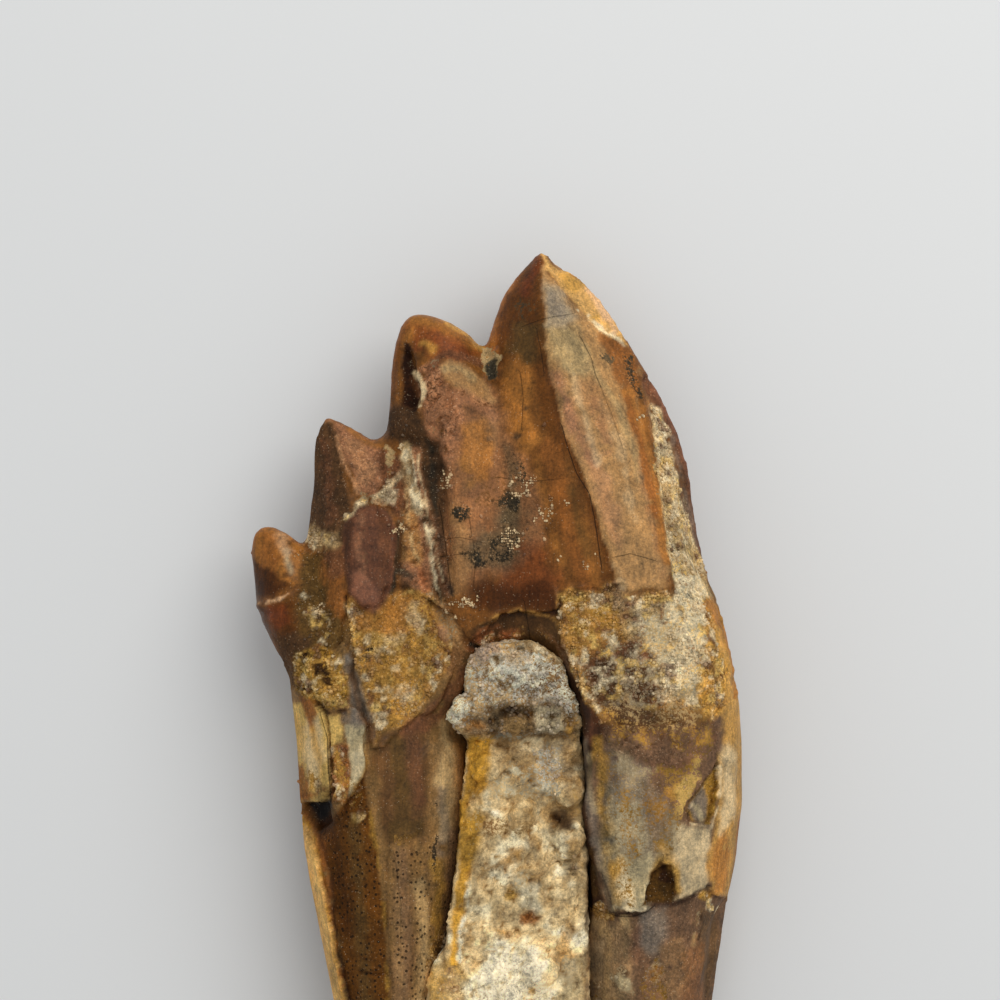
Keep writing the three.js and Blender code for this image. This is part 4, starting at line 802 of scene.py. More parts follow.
MATRIX_RELIEF = [
    raise_area(-0.6, 0.3, 0.2, 478, 706, 500, 700, 530, 704, 562, 712, 556, 720, 530, 714, 500, 716,
               488, 724),
    raise_area(0.2, 0.6, 0.2, 500, 718, 520, 714, 530, 724, 524, 733, 506, 733),
    raise_area(-0.25, 0.25, 0, 503, 880, 511, 880, 519, 888, 514, 896, 505, 893),
    raise_area(-0.3, 0.25, 0, 520, 909, 530, 907, 541, 913, 534, 920, 521, 917),
    raise_area(-0.6, 0.35, 0, 548, 812, 572, 810, 582, 824, 566, 832, 552, 824),
    raise_line(0.5, 0.3, 0.2, 0.3, 478, 868, 500, 858, 522, 846, 540, 836),
    raise_line(0.4, 0.3, 0.2, 0.3, 500, 880, 512, 868, 524, 862, 537, 866),
    raise_area(0.35, 0.3, 0, 521, 882, 538, 878, 542, 896, 544, 906, 530, 908, 520, 898),
    raise_line(-0.3, 0.4, 0.8, 0.4, 506, 770, 518, 766, 530, 776, 538, 790),
    raise_line(-0.35, 0.3, 0.3, 0.3, 496, 742, 516, 748, 530, 742),
    raise_line(0.35, 0.3, 0.3, 0.3, 484, 806, 500, 812, 530, 806),
    raise_line(-0.5, 0.2, 0, 0.2, 526, 632, 530, 648, 528, 656),
    raise_area(0.5, 0.3, 0.5, 449, 696, 470, 696, 476, 708, 462, 720, 448, 722),
    raise_area(0.4, 0.3, 0.5, 548, 668, 564, 674, 576, 694, 572, 708, 554, 700),
]

# Where the matrix bulges into one smooth lump.
BOULDER = raise_area(0, 0, 0, 546, 764, 588, 764, 588, 814, 546, 812)

CRACKS = [
    crack(0.06, 561, 427, 567, 449, 575, 473, 588, 494, 593, 518, 597, 546, 600, 567),
    crack(0.045, 580, 338, 591, 360, 594, 374, 600, 388),
    crack(0.025, 600, 388, 612, 420, 622, 450),
    crack(0.03, 522, 328, 541, 321, 571, 315),
    crack(0.04, 536, 330, 540, 350, 543, 372),
    crack(0.04, 614, 556, 628, 553, 650, 559),
    crack(0.05, 322, 712, 329, 735, 330, 761, 333, 798),
    crack(0.05, 440, 505, 446, 545, 452, 592),
    crack(0.03, 438, 540, 460, 537, 480, 541),
    crack(0.03, 442, 556, 470, 552),
    crack(0.03, 500, 478, 530, 482, 560, 479),
    crack(0.03, 470, 520, 476, 560, 474, 585),
    crack(0.05, 452, 905, 461, 903, 472, 908),
    crack(0.04, 520, 374, 523, 400, 521, 430),
    crack(0.05, 588, 903, 602, 908, 615, 911, 630, 911, 645, 906, 652, 900),
    crack(0.02, 396, 850, 402, 900, 402, 960),
    crack(0.04, 524, 600, 530, 640),
]

# Sand lying loose on the crown: a place on the chart, and how far it spreads in millimetres.
SPRINKLES = [
    (521, 486, 1.0), (512, 494, 0.5), (530, 478, 0.5), (510, 538, 1.1), (502, 546, 0.6), (540, 518, 0.8),
    (548, 512, 0.4), (555, 503, 0.5), (567, 503, 0.35), (592, 557, 0.55), (586, 564, 0.4), (544, 535, 0.3),
    (546, 424, 0.15), (560, 560, 0.4), (482, 512, 0.3), (500, 486, 0.3), (320, 606, 0.6), (300, 560, 0.5),
    (470, 596, 0.8), (640, 420, 0.4), (444, 480, 0.8), (398, 530, 0.7), (456, 610, 0.8), (404, 450, 0.8),
]

# Outlines of the layers that lie over the dentine, in millimetres from the frame's origin, as in the solids.
ENAMEL_FRONT = outline(5.2, 54, 5.6, 50.4, 6.0, 48.8, 7.1, 47.0, 8.9, 45.1, 10.7, 44.1, 12.6, 43.4, 15, 43,
    15.4, 40, 14.6, 39.2, 15.0, 36.5, 15.7, 33.2, 16.1, 29.7, 16.6, 26.2, 17.1, 23.1, 17.5, 20.2, 17.0, 19.0,
    15.4, 18.4, 13.1, 17.8, 12.3, 19.0, 10.4, 18.5, 6.2, 18.2, 6.0, 16.2, 2.6, 16.4, 0.2, 15.8, -2.4, 13.6,
    -4.6, 16.4, -7.1, 17.6, -10.1, 18.8, -11.2, 18.0, -11.8, 16.4, -13.4, 16.5, -14.9, 18.2, -15.2, 15.3,
    -16.1, 12.3, -19.6, 11.6, -27, 12, -27, 54)
ENAMEL_BACK = outline(-27, 54, 30, 54, 30, 18.2, 19, 16.7, 14, 15.6, 9, 17.2, 3, 16.2, -2, 13.4, -8, 15.6,
    -13, 14.4, -18, 12.2, -27, 12.6)
CEMENT_BACK = outline(-27, 12.3, -18, 11.9, -13, 14.1, -8, 15.3, -2, 13.1, 3, 15.9, 9, 16.9, 14, 15.3, 19,
    16.4, 30, 17.9, 30, -30, 19, -33, 16, -31, 12, -36, 6, -38, 2, -30, -5, -27, -9, -31, -14, -33, -27, -34)
RIGHT_CRUST = outline(6.2, 18.5, 10.4, 18.8, 12.3, 19.3, 13.2, 18.1, 15.4, 18.7, 17, 19.3, 17.5, 20.4, 17.4,
    23, 18.4, 24, 19.8, 20, 21.6, 18.0, 30, 18.0, 30, 12, 22.6, 7, 20.2, 4.4, 17, 5.2, 14, 3.6, 10.6, 4.8,
    8.8, 8.4, 7.6, 11, 6.2, 14)
LEFT_CRUST = outline(-14.9, 18.4, -13.4, 16.8, -11.8, 16.7, -11.2, 18.2, -10.1, 19.1, -7.1, 17.9, -5.6, 13.4,
    -4.1, 10.8, -5.9, 6.8, -9.6, 4.5, -11.2, 2.9, -12.3, 3.0, -13.1, 7.3, -14.1, 11.3)
NODULE_CRUST = outline(-27, 12.1, -19.6, 11.8, -16.1, 12.5, -15.3, 13.4, -14.3, 11.0, -14.6, 7.9, -16.6, 7.2,
    -18.2, 8.8, -27, 9.2)
RIGHT_PLATE = outline(8.2, 9.4, 8.5, 3, 8.8, -2, 9.6, -6.3, 10.6, -9.5, 11.9, -13.5, 14.7, -13.0, 15.0,
    -10.7, 15.4, -9.3, 16.4, -8.4, 17.1, -8.9, 17.5, -10.7, 17.9, -12.1, 19.4, -11.5, 20.9, -10.7, 22.0,
    -12.4, 30, -12.4, 30, 12.2, 22.8, 7.1, 20.2, 4.6, 16, 5.2, 12, 5)
PLATE_CHIP = outline(22.1, 1.4, 18.8, -3.3, 19.0, -4.3, 21.2, -4.6, 22.1, 0.1)
LEFT_PLATE = outline(-27, 9.0, -18.4, 8.6, -17.2, 6.4, -16.5, 2.4, -16.2, -1, -16.9, -2.6, -18.5, -3.2, -27,
    -3)
LEFT_FLAKE = outline(-17.0, 7.0, -15.2, 8.0, -12.9, 5.4, -13.1, 3.2, -13.3, 0.2, -14.0, -2.0, -15.2, -3.7,
    -16.1, -3.2, -16.0, -1, -16.3, 2.4)
LEFT_RIM = outline(-27, -6.2, -18.6, -6.0, -17.6, -9, -16.7, -13, -15.9, -18, -14.8, -24, -13.8, -29, -15,
    -33.4, -27, -34)
ENAMEL_DEPTH = 1.0
CRUST_DEPTH = 0.45
FRONT_LAYERS = [
    (0, ENAMEL_FRONT), (-CRUST_DEPTH, RIGHT_CRUST), (-CRUST_DEPTH, LEFT_CRUST), (-CRUST_DEPTH, NODULE_CRUST),
    (0, RIGHT_PLATE), (-ENAMEL_DEPTH, PLATE_CHIP), (0, LEFT_PLATE), (0, LEFT_FLAKE), (0, LEFT_RIM),
]
BACK_LAYERS = [(0, ENAMEL_BACK), (0, CEMENT_BACK)]


# Fields: functions of an array of places in millimetres, which give a number for each of them.


def ease(value, low, high):
    """0 below `low`, 1 above `high`, and a smooth step between them."""
    part = np.clip((value - low) / (high - low), 0, 1)
    return part * part * (3 - 2 * part)


def toss(cells, salt):
    """A repeatable random number from 0 to 1 for each whole-numbered cell. A salt only picks the pattern,
    here and in the functions below."""
    cells = cells.astype(np.int64).astype(np.uint64)
    mixed = cells[..., 0] * np.uint64(73856093) ^ cells[..., 1] * np.uint64(19349663)
    mixed = mixed ^ cells[..., 2] * np.uint64(83492791) ^ np.uint64(salt * 2654435761)
    mixed = (mixed ^ (mixed >> np.uint64(15))) * np.uint64(2246822519)
    mixed = (mixed ^ (mixed >> np.uint64(13))) * np.uint64(3266489917)
    return ((mixed >> np.uint64(8)) & np.uint64(0xFFFFFF)) / float(0xFFFFFF)


def waves(places, size, salt, octaves=1):
    """Smooth noise from -1 to 1 with waves about `size` long, and finer ones on it for more octaves."""
    total = np.zeros(len(places))
    strength = 1.0
    for octave in range(octaves):
        spot = places / (size * 0.5**octave) + salt * 7.31
        cell = np.floor(spot)
        part = spot - cell
        blend = part * part * (3 - 2 * part)
        for corner in np.ndindex(2, 2, 2):
            weight = np.prod(np.where(corner, blend, 1 - blend), axis=1)
            total += strength * weight * (2 * toss(cell + corner, salt + octave) - 1)
        strength *= 0.5
    return total / (2 - 2 * strength)


def pebbles(places, size, salt):
    """Scattered pebbles about `size` wide: for the nearest one, how far its middle is in pebbles, a random
    number of its own, and the height of its tilted flat top."""
    spot = places / size + salt * 3.17
    home = np.floor(spot)
    nearest = np.full(len(places), FAR)
    tone = np.zeros(len(places))
    tilt = np.zeros(len(places))
    for step in np.ndindex(3, 3, 3):
        cell = home + np.array(step) - 1
        away = spot - cell - np.stack([toss(cell, salt + axis) for axis in range(3)], axis=1)
        distance = np.linalg.norm(away, axis=1)
        closer = distance < nearest
        nearest = np.where(closer, distance, nearest)
        tone = np.where(closer, toss(cell, salt + 5), tone)
        slope = np.stack([toss(cell, salt + 6 + axis) for axis in range(3)], axis=1) - 0.5
        tilt = np.where(closer, np.einsum("ij,ij->i", away, slope), tilt)
    return nearest, tone, tilt


def from_line(flat, points):
    """Distance of flat places to a line through points, with the side they are on as a sign."""
    nearest = np.full(len(flat), np.inf)
    side = np.ones(len(flat))
    ends = points[1:] if len(points) > 1 else points
    for start, end in zip(points, ends):
        run = end - start
        away = flat - start
        along = np.clip(away @ run / max(run @ run, 1e-9), 0, 1)
        gap = np.linalg.norm(away - along[:, None] * run, axis=1)
        closer = gap < nearest
        nearest = np.where(closer, gap, nearest)
        side = np.where(closer, np.sign(run[0] * away[:, 1] - run[1] * away[:, 0]), side)
    return nearest, side


def into_outline(flat, points):
    """Distance of flat places to a closed outline, positive inside it."""
    inside = np.zeros(len(flat), bool)
    x, y = flat.T
    for (ax, ay), (bx, by) in zip(points, np.roll(points, -1, axis=0)):
        if ay != by:
            inside ^= ((ay > y) != (by > y)) & (x < (bx - ax) * (y - ay) / (by - ay) + ax)
    gap, _ = from_line(flat, np.vstack([points, points[:1]]))
    return np.where(inside, gap, -gap)


def on_chart(points):
    """Points of the chart as millimetres from the frame's origin."""
    return (np.array(points, float) - CHART_ORIGIN) * (CHART_STEP, -CHART_STEP)


def reach_into(stroke, flat):
    """How far each flat place lies inside a stroke, and -FAR where it is well away from it."""
    points = on_chart(stroke.points)
    margin = stroke.width + 2 * stroke.soft + 1.5
    near = np.all((flat > points.min(0) - margin) & (flat < points.max(0) + margin), axis=1)
    reach = np.full(len(flat), -FAR)
    if stroke.width:
        reach[near] = stroke.width - from_line(flat[near], points)[0]
    else:
        reach[near] = into_outline(flat[near], points)
    return reach


# Surfaces


class Surface:
    """The vertices of a piece as arrays in millimetres, to sculpt and paint."""

    def __init__(self, piece):
        mesh = piece.data
        self.mesh = mesh
        self.count = len(mesh.vertices)
        self.places = self.read(mesh.vertices, "co", 3) / MM
        edges = np.zeros(2 * len(mesh.edges), np.int32)
        mesh.edges.foreach_get("vertices", edges)
        self.starts, self.ends = edges.reshape(-1, 2).T
        near = np.bincount(self.starts, minlength=self.count) + np.bincount(self.ends, minlength=self.count)
        self.neighbours = np.maximum(near, 1)

    @staticmethod
    def read(items, name, width):
        """One property of every item, as rows of `width` numbers."""
        values = np.zeros(len(items) * width, np.float32)
        items.foreach_get(name, values)
        return values.reshape(-1, width).astype(float)

    def average(self, values):
        """The mean of each vertex's neighbours, for an array of one or more columns."""
        columns = []
        for column in values.reshape(self.count, -1).T:
            total = np.bincount(self.starts, column[self.ends], self.count)
            total += np.bincount(self.ends, column[self.starts], self.count)
            columns.append(total / self.neighbours)
        return np.stack(columns, axis=1).reshape(values.shape)

    def soften(self, values, steps, weight=1.0):
        """Values spread over the surface, less where the weight is low."""
        for _ in range(steps):
            values = values + 0.5 * weight * (self.average(values) - values)
        return values

    def even_out(self, values, steps, weight=1.0):
        """Softened values that keep their broad forms, because what softening took away is softened too
        and given back."""
        soft = self.soften(values, steps, weight)
        return soft + self.soften(values - soft, steps, weight)

    def fetch(self, name):
        return self.read(self.mesh.attributes[name].data, "value", 1)[:, 0]

    def fetch_colour(self, name):
        return self.read(self.mesh.attributes[name].data, "color", 4)[:, :3]

    def apply(self):
        """Moves the mesh's vertices to where the arrays have them."""
        self.mesh.vertices.foreach_set("co", (self.places * MM).astype(np.float32).ravel())
        self.mesh.update()

    def normals(self):
        self.apply()
        return self.read(self.mesh.vertex_normals, "vector", 3)

    def hollowness(self, steps):
        """How far each vertex lies below its surroundings, in millimetres; ridges are negative."""
        lift = self.soften(self.places, steps) - self.places
        return np.einsum("ij,ij->i", lift, self.normals())

    def keep(self, name, values):
        """Stores numbers, or colours of three columns, as an attribute of the mesh."""
        if values.ndim == 2:
            layer = self.mesh.color_attributes.new(name, "FLOAT_COLOR", "POINT")
            opaque = np.hstack([values, np.ones((self.count, 1))])
            layer.data.foreach_set("color", opaque.astype(np.float32).ravel())
        else:
            layer = self.mesh.attributes.new(name, "FLOAT", "POINT")
            layer.data.foreach_set("value", values.astype(np.float32))


def mesh_from(shape, name):
    """A new mesh with a bmesh's shape. The bmesh is done with."""
    mesh = bpy.data.meshes.new(name)
    shape.to_mesh(mesh)
    shape.free()
    return mesh


def add_object(name, data):
    """A new object in the scene, at its origin."""
    made = bpy.data.objects.new(name, data)
    bpy.context.scene.collection.objects.link(made)
    return made


def copy_of_solid(node, name):
    """A new piece with the solid's mesh, its loose triangles merged into one surface."""
    shape = bmesh.new()
    shape.from_mesh(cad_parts[node].data)
    bmesh.ops.remove_doubles(shape, verts=shape.verts, dist=1e-6)
    return add_object(name, mesh_from(shape, name))


def remesh(piece, spacing):
    """Rebuilds the piece's surface as even quads."""
    modifier = piece.modifiers.new("even quads", "REMESH")
    modifier.mode = "VOXEL"
    modifier.voxel_size = spacing
    shaped = piece.evaluated_get(bpy.context.evaluated_depsgraph_get())
    rough = piece.data
    piece.data = bpy.data.meshes.new_from_object(shaped)
    piece.data.name = piece.name
    piece.modifiers.clear()
    bpy.data.meshes.remove(rough)


def refine(piece, wanted):
    """Splits each face for which `wanted` is true, given its centre in millimetres and its normal."""
    shape = bmesh.new()
    shape.from_mesh(piece.data)
    edges = {e for f in shape.faces if wanted(f.calc_center_median() / MM, f.normal) for e in f.edges}
    bmesh.ops.subdivide_edges(shape, edges=list(edges), cuts=1, use_grid_fill=True)
    bmesh.ops.triangulate(shape, faces=[f for f in shape.faces if len(f.verts) > 4])
    shape.to_mesh(piece.data)
    shape.free()


def finish_piece(piece, node, material):
    """Smooth shading, the material, and the piece's place in the frame."""
    piece.data.polygons.foreach_set("use_smooth", np.ones(len(piece.data.polygons), bool))
    piece.data.materials.clear()
    piece.data.materials.append(material)
    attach(piece, BODY)
    if node:
        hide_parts(node)


class Paint:
    """Colour and finish for every vertex. There are two colours: a ground, and flecks that the shader
    scatters over it."""

    def __init__(self, surface, colours, ground, finish):
        self.surface = surface
        self.palette = colours
        count = surface.count
        self.tint = np.tile(self.colour(ground), (count, 1))
        self.fleck = self.tint.copy()
        self.cover = np.zeros(count)
        self.finish = np.tile(np.array(FINISHES[finish]), (count, 1))

    def colour(self, name):
        """A colour of the palette."""
        return np.array(getattr(self.palette, name))

    def lay(self, name, finish, amount, patchy=0.0, spread=0.0):
        """Lays a colour over the paint. A patchy one goes on as flecks and leaves some ground showing."""
        amount = np.clip(amount, 0, 1)[:, None]
        colour = self.colour(name)
        if patchy >= FLECKED:
            self.fleck += amount * (colour - self.fleck)
            self.cover += amount[:, 0] * (1.05 - patchy + 0.3 * spread - self.cover)
        else:
            self.tint += amount * (colour - self.tint)
            self.cover *= 1 - amount[:, 0]
        self.finish += amount * (np.array(FINISHES[finish]) - self.finish)

    def brush(self, strokes, flat, speckle, streak):
        """Lays every stroke of a list in turn, its soft border broken up by the noise."""
        for stroke in strokes:
            loose = stroke.soft + stroke.patchy * 1.6
            reach = reach_into(stroke, flat) + loose * (0.6 * speckle + 0.6 * streak)
            amount = ease(reach, -stroke.soft, stroke.soft) * stroke.strength
            if 0 < stroke.patchy < FLECKED:
                amount *= ease(speckle, stroke.patchy - 0.75, stroke.patchy - 0.45)
            self.lay(stroke.colour, stroke.finish, amount, stroke.patchy, streak)

    def blend(self, other, share):
        """Mixes in another paint of the same surface by a share for each vertex."""
        for name in ("tint", "fleck", "finish"):
            mine = getattr(self, name)
            mine += share[:, None] * (getattr(other, name) - mine)
        self.cover += share * (other.cover - self.cover)

    def keep(self):
        """Stores the paint as attributes of the mesh."""
        self.surface.keep("tint", self.tint)
        self.surface.keep("fleck", self.fleck)
        self.surface.keep("cover", self.cover)
        for name, values in zip(("polish", "grit", "dots"), self.finish.T):
            self.surface.keep(name, values)


def darken_hollows_pale_ridges(paint, steps, strength):
    """Brown dirt in the hollows, and paler worn ridges."""
    hollow = paint.surface.hollowness(steps)
    hollow_dark = strength * ease(hollow, 0.02, 0.25)[:, None]
    ridge_pale = 0.16 * ease(-hollow, 0.03, 0.25)[:, None]
    for layer in (paint.tint, paint.fleck):
        layer *= 1 - hollow_dark * HOLLOW_TAKES + ridge_pale


# Tooth


def ragged(places, amount, salt):
    """The places as seen from above, shifted a little by noise, so that borders come out ragged."""
    shift = np.stack([waves(places, 1.3, salt, 3), waves(places, 1.3, salt + 9, 3)], axis=1)
    return places[:, :2] + amount * shift


def layer_level(surface, sharpness):
    """Height of the layers over the dentine at each vertex: 0 on enamel and plates, lower between them."""
    flat = ragged(surface.places, 0.55, 3)
    in_front = ease(surface.places[:, 2], MIDDLE - 0.7, MIDDLE - 0.3)
    levels = []
    for layers in (BACK_LAYERS, FRONT_LAYERS):
        level = np.full(surface.count, -ENAMEL_DEPTH)
        for height, edge in layers:
            inside = ease(into_outline(flat, edge), -sharpness, sharpness)
            level += inside * (height - level)
        levels.append(level)
    return levels[0] + in_front * (levels[1] - levels[0])


def crack_field(flat):
    """Signed distance to the nearest crack, and how wide and how near it is, from 0 to 1."""
    distance = np.full(len(flat), FAR)
    signed = np.full(len(flat), FAR)
    strength = np.zeros(len(flat))
    for width, points in CRACKS:
        gap, side = from_line(flat, on_chart(points))
        closer = gap < distance
        distance = np.where(closer, gap, distance)
        signed = np.where(closer, gap * side, signed)
        strength = np.where(closer, width / FULL_CRACK * (1 - ease(gap, 0.35, 0.55)), strength)
    return signed, strength


def relief_at(marks, flat, speckle):
    """How far a list of relief strokes lifts each place."""
    lift = np.zeros(len(flat))
    for mark in marks:
        reach = reach_into(mark, flat)
        crest = np.clip((reach + mark.soft) / (mark.soft + mark.width), 0, 1)
        amount = mark.height * (crest if mark.width else ease(reach, -mark.soft, mark.soft))
        lift += amount * (1 - mark.patchy * ease(speckle, 0, 0.3))
    return lift


def sculpt_tooth(surface, sizes):
    """Strokes, layers, lumps and grooves on the front; broader waves on the back."""
    places = surface.places
    fine_level = layer_level(surface, 0.12)
    step = fine_level - surface.fetch("soft_level")
    normals = surface.normals()
    in_front = ease(places[:, 2], MIDDLE - 1.0, MIDDLE + 0.6)
    flat = ragged(places, 0.2, 21)
    speckle = waves(places, 0.7, 31, 2)
    lift = in_front * relief_at(RELIEF, flat, speckle)
    crust = ease(fine_level, -0.9, -0.6) * ease(-fine_level, 0.2, 0.4)
    crown = ease(fine_level, -0.2, -0.05) * ease(places[:, 1], 15, 18)
    stone, _, facet = pebbles(places, 0.8, 41)
    lumps = 0.3 * waves(places, 1.2, 43, 3) + 0.08 * (0.5 - stone) + 0.16 * facet
    lift += sizes.crust_lumps / MM * crust * lumps / 0.26
    along = places * (1, 0.25, 1)
    lift += (1 - crust) * 0.05 * waves(along, 1.1, 47, 2) * (1 - 0.5 * crown)
    lift += 0.1 * waves(places, 5, 53, 2)
    lift += (1 - in_front) * (1 - crown) * 0.14 * waves(along, 1.6, 59, 3)
    surface.places = places + normals * (lift + np.clip(step, -0.9, 0.9) * np.abs(normals[:, 2]))[:, None]


def paint_tooth(surface, colours):
    """The front follows the chart; the back has the same materials in their own places."""
    places = surface.places
    speckle = waves(places, 0.9, 61, 2)
    broad = waves(places * (1, 0.6, 1), 5, 67, 3)
    streak = waves(places * (1, 0.16, 1), 1.6, 71, 3)
    blotch = waves(places * (1, 0.7, 1), 1.5, 69, 3)
    front = Paint(surface, colours, "root_tan", "satin")
    front.brush(TOOTH_PAINT, ragged(places, 0.35, 73), speckle, blotch)
    back = Paint(surface, colours, "root_brown", "dotted")
    flat = ragged(places, 0.6, 79)
    cement = into_outline(flat, CEMENT_BACK)
    enamel = into_outline(flat, ENAMEL_BACK)
    back.lay("root_mauve", "satin", ease(cement, -0.2, 0.2))
    back.lay("root_tan", "satin", ease(cement, -0.2, 0.2) * ease(broad, -0.1, 0.4))
    back.lay("ivory", "satin", ease(cement, -0.2, 0.4) * ease(streak + broad, 0.3, 0.7))
    back.lay("ochre", "sandy", ease(cement, 0, 0.4) * ease(speckle + broad, 0.2, 0.5), 0.5)
    back.lay("enamel_brown", "gloss", ease(enamel, -0.15, 0.15))
    back.lay("enamel_dark", "gloss", ease(enamel, -0.15, 0.15) * ease(streak - broad, 0, 0.5))
    back.lay("facet_tan", "gloss", 0.8 * ease(enamel, 0, 0.3) * ease(streak + broad, 0.15, 0.6))
    back.lay("enamel_orange", "gloss", 0.7 * ease(enamel, 14, 26) * ease(streak, -0.2, 0.4))
    below = ease(enamel, -1.4, 0) * ease(-enamel, -0.2, 0.2)
    back.lay("ochre", "sandy", below * ease(speckle, -0.4, 0), 0.35)
    edge = MIDDLE - 1.5 + 1.2 * waves(places, 3, 83, 2)
    front.blend(back, ease(edge - places[:, 2], -0.6, 0.6))
    sandy = ease(front.finish[:, 1], 0.7, 0.95)
    for name, salt, patch in (("white", 91, 0.05), ("plum_brown", 93, 0.08), ("plate_cream", 95, 0.1)):
        front.tint += (0.75 * sandy * ease(waves(places, 0.9, salt, 3), patch, patch + 0.3))[:, None] * (
            front.colour(name) - front.tint)
    front.tint *= (1 + 0.2 * streak * (1 - sandy) + 0.25 * speckle + 0.2 * blotch)[:, None]
    darken_hollows_pale_ridges(front, 10, 0.6)
    front.keep()
    signed, strength = crack_field(ragged(places, 0.06, 89))
    surface.keep("crack", signed)
    surface.keep("crack_strength", strength * ease(places[:, 2], MIDDLE - 1, MIDDLE + 1))


def faces_front(centre, normal):
    """Whether a face of the tooth gets split once more."""
    return normal.z > 0.25 and centre.y > REFINED_FROM and centre.z > MIDDLE - 2


def make_tooth(sizes, colours):
    """Smooths the solid with its layers kept crisp, then sculpts and paints it."""
    piece = copy_of_solid("tooth", "tooth_skin")
    remesh(piece, sizes.spacing)
    surface = Surface(piece)
    thick = ease(np.abs(surface.places[:, 2] - MIDDLE), 0.8, 3)
    weight = 0.15 + 0.85 * thick
    surface.keep("soft_level", surface.even_out(layer_level(surface, 0.3), sizes.smoothing, weight))
    surface.places = surface.even_out(surface.places, sizes.smoothing, weight[:, None])
    surface.apply()
    refine(piece, faces_front)
    surface = Surface(piece)
    surface.places = surface.soften(surface.places, 3)
    sculpt_tooth(surface, sizes)
    surface.places[:, 2] = np.maximum(surface.places[:, 2], 0)
    surface.apply()
    paint_tooth(surface, colours)
    stone = stone_material(
        "fossil_tooth", gloss=0.38, relief=0.9, crumb_scale=1.7, cool=COOL_TOOTH, warm=WARM_TOOTH)
    finish_piece(piece, "tooth", stone)


# Matrix


def make_matrix(sizes, colours):
    """Swells the solid to meet the roots, gives it crystals, and paints it."""
    piece = copy_of_solid("matrix", "matrix_fill")
    remesh(piece, sizes.matrix_spacing)
    surface = Surface(piece)
    boulder = ease(reach_into(BOULDER, surface.places[:, :2]), -1, 0)
    surface.places = surface.even_out(surface.places, 80, boulder[:, None])
    surface.places = surface.even_out(surface.places, 4)
    surface.places = surface.places + sizes.matrix_swell / MM * surface.normals() * (1, 1, 0)
    places = surface.places
    normals = surface.normals()
    _, tone, facet = pebbles(places, 1.7, 101)
    _, small_tone, small_facet = pebbles(places, 0.8, 107)
    upright = np.abs(normals[:, 2])
    lumps = 0.2 * (tone - 0.5) + 0.55 * facet + 0.15 * (small_tone - 0.5) + 0.7 * small_facet
    lift = sizes.crystal_relief / MM * (lumps + 0.3 * waves(places, 2.6, 109, 3))
    frosty = ease(places[:, 1], 3.4, 5) * (1 - ease(places[:, 1], 13, 15))
    lift += frosty * (0.6 * waves(places, 0.9, 113, 3) + 0.25 * waves(places, 2.2, 115, 2))
    lift *= 0.6 + 0.4 * upright
    lift += upright * relief_at(MATRIX_RELIEF, ragged(places, 0.3, 111), waves(places, 0.7, 117, 2))
    surface.places = places + normals * lift[:, None]
    surface.places[:, 2] = np.maximum(surface.places[:, 2], MATRIX_FLOOR)
    surface.apply()
    paint = Paint(surface, colours, "spar_cream", "spar")
    speckle = waves(places, 0.9, 113, 3)
    blotch = waves(places, 2.4, 115, 3)
    paint.lay("spar_tan", "spar", 0.7 * ease(blotch, 0.1, 0.4))
    paint.lay("chalk", "powder", 0.8 * ease(-blotch, 0.1, 0.4))
    paint.lay("ochre", "spar", 0.6 * ease(waves(places, 1.7, 119, 3), 0.1, 0.4))
    paint.brush(MATRIX_PAINT, ragged(places, 0.4, 127), speckle, 0.6 * blotch)
    paint.tint *= (1 + 0.35 * (small_tone - 0.5) + 0.2 * (tone - 0.5) + 0.25 * speckle)[:, None]
    darken_hollows_pale_ridges(paint, 12, 0.8)
    # The matrix is painted paler towards its lower end.
    paler_below = 1 + 0.4 * ease(-places[:, 1], 12.5, 17)[:, None]
    paint.tint = np.minimum(paint.tint * paler_below, CREAM_LIMIT)
    paint.fleck = np.minimum(paint.fleck * paler_below, CREAM_LIMIT)
    paint.keep()
    surface.keep("crack", np.full(surface.count, FAR))
    surface.keep("crack_strength", np.zeros(surface.count))
    stone = stone_material(
        "fossil_matrix", gloss=0.42, relief=1.0, crumb_scale=1.2, cool=COOL_MATRIX, warm=WARM_MATRIX)
    finish_piece(piece, "matrix", stone)


# Sand


def grain_shapes(rng):
    """Meshes of a few crumpled grains of radius 1."""
    shapes = []
    for _ in range(GRAIN_SHAPES):
        shape = bmesh.new()
        bmesh.ops.create_icosphere(shape, subdivisions=1, radius=1)
        for vert in shape.verts:
            vert.co *= float(rng.uniform(0.75, 1.2))
        shapes.append(mesh_from(shape, "grain"))
    return shapes


def sand_cover(surface, normals):
    """How readily each vertex takes a grain, and how much of the sand there only lies loose."""
    held = ease(surface.fetch("grit"), 0.62, 1.0) * ease(normals[:, 2], 0.1, 0.6)
    held *= ease(waves(surface.places, 1.6, 131, 2), -0.5, 0.4)
    held *= ease(surface.fetch_colour("tint")[:, 0], 0.01, 0.03)
    loose = np.zeros(surface.count)
    for x, y, spread in SPRINKLES:
        gap = np.linalg.norm(surface.places[:, :2] - on_chart([(x, y)]), axis=1)
        loose = np.maximum(loose, np.exp(-((gap / spread) ** 2)))
    loose *= ease(surface.places[:, 2], MIDDLE, MIDDLE + 1)
    return held + 4 * loose * ease(waves(surface.places, 0.8, 137, 2), -0.1, 0.3), loose


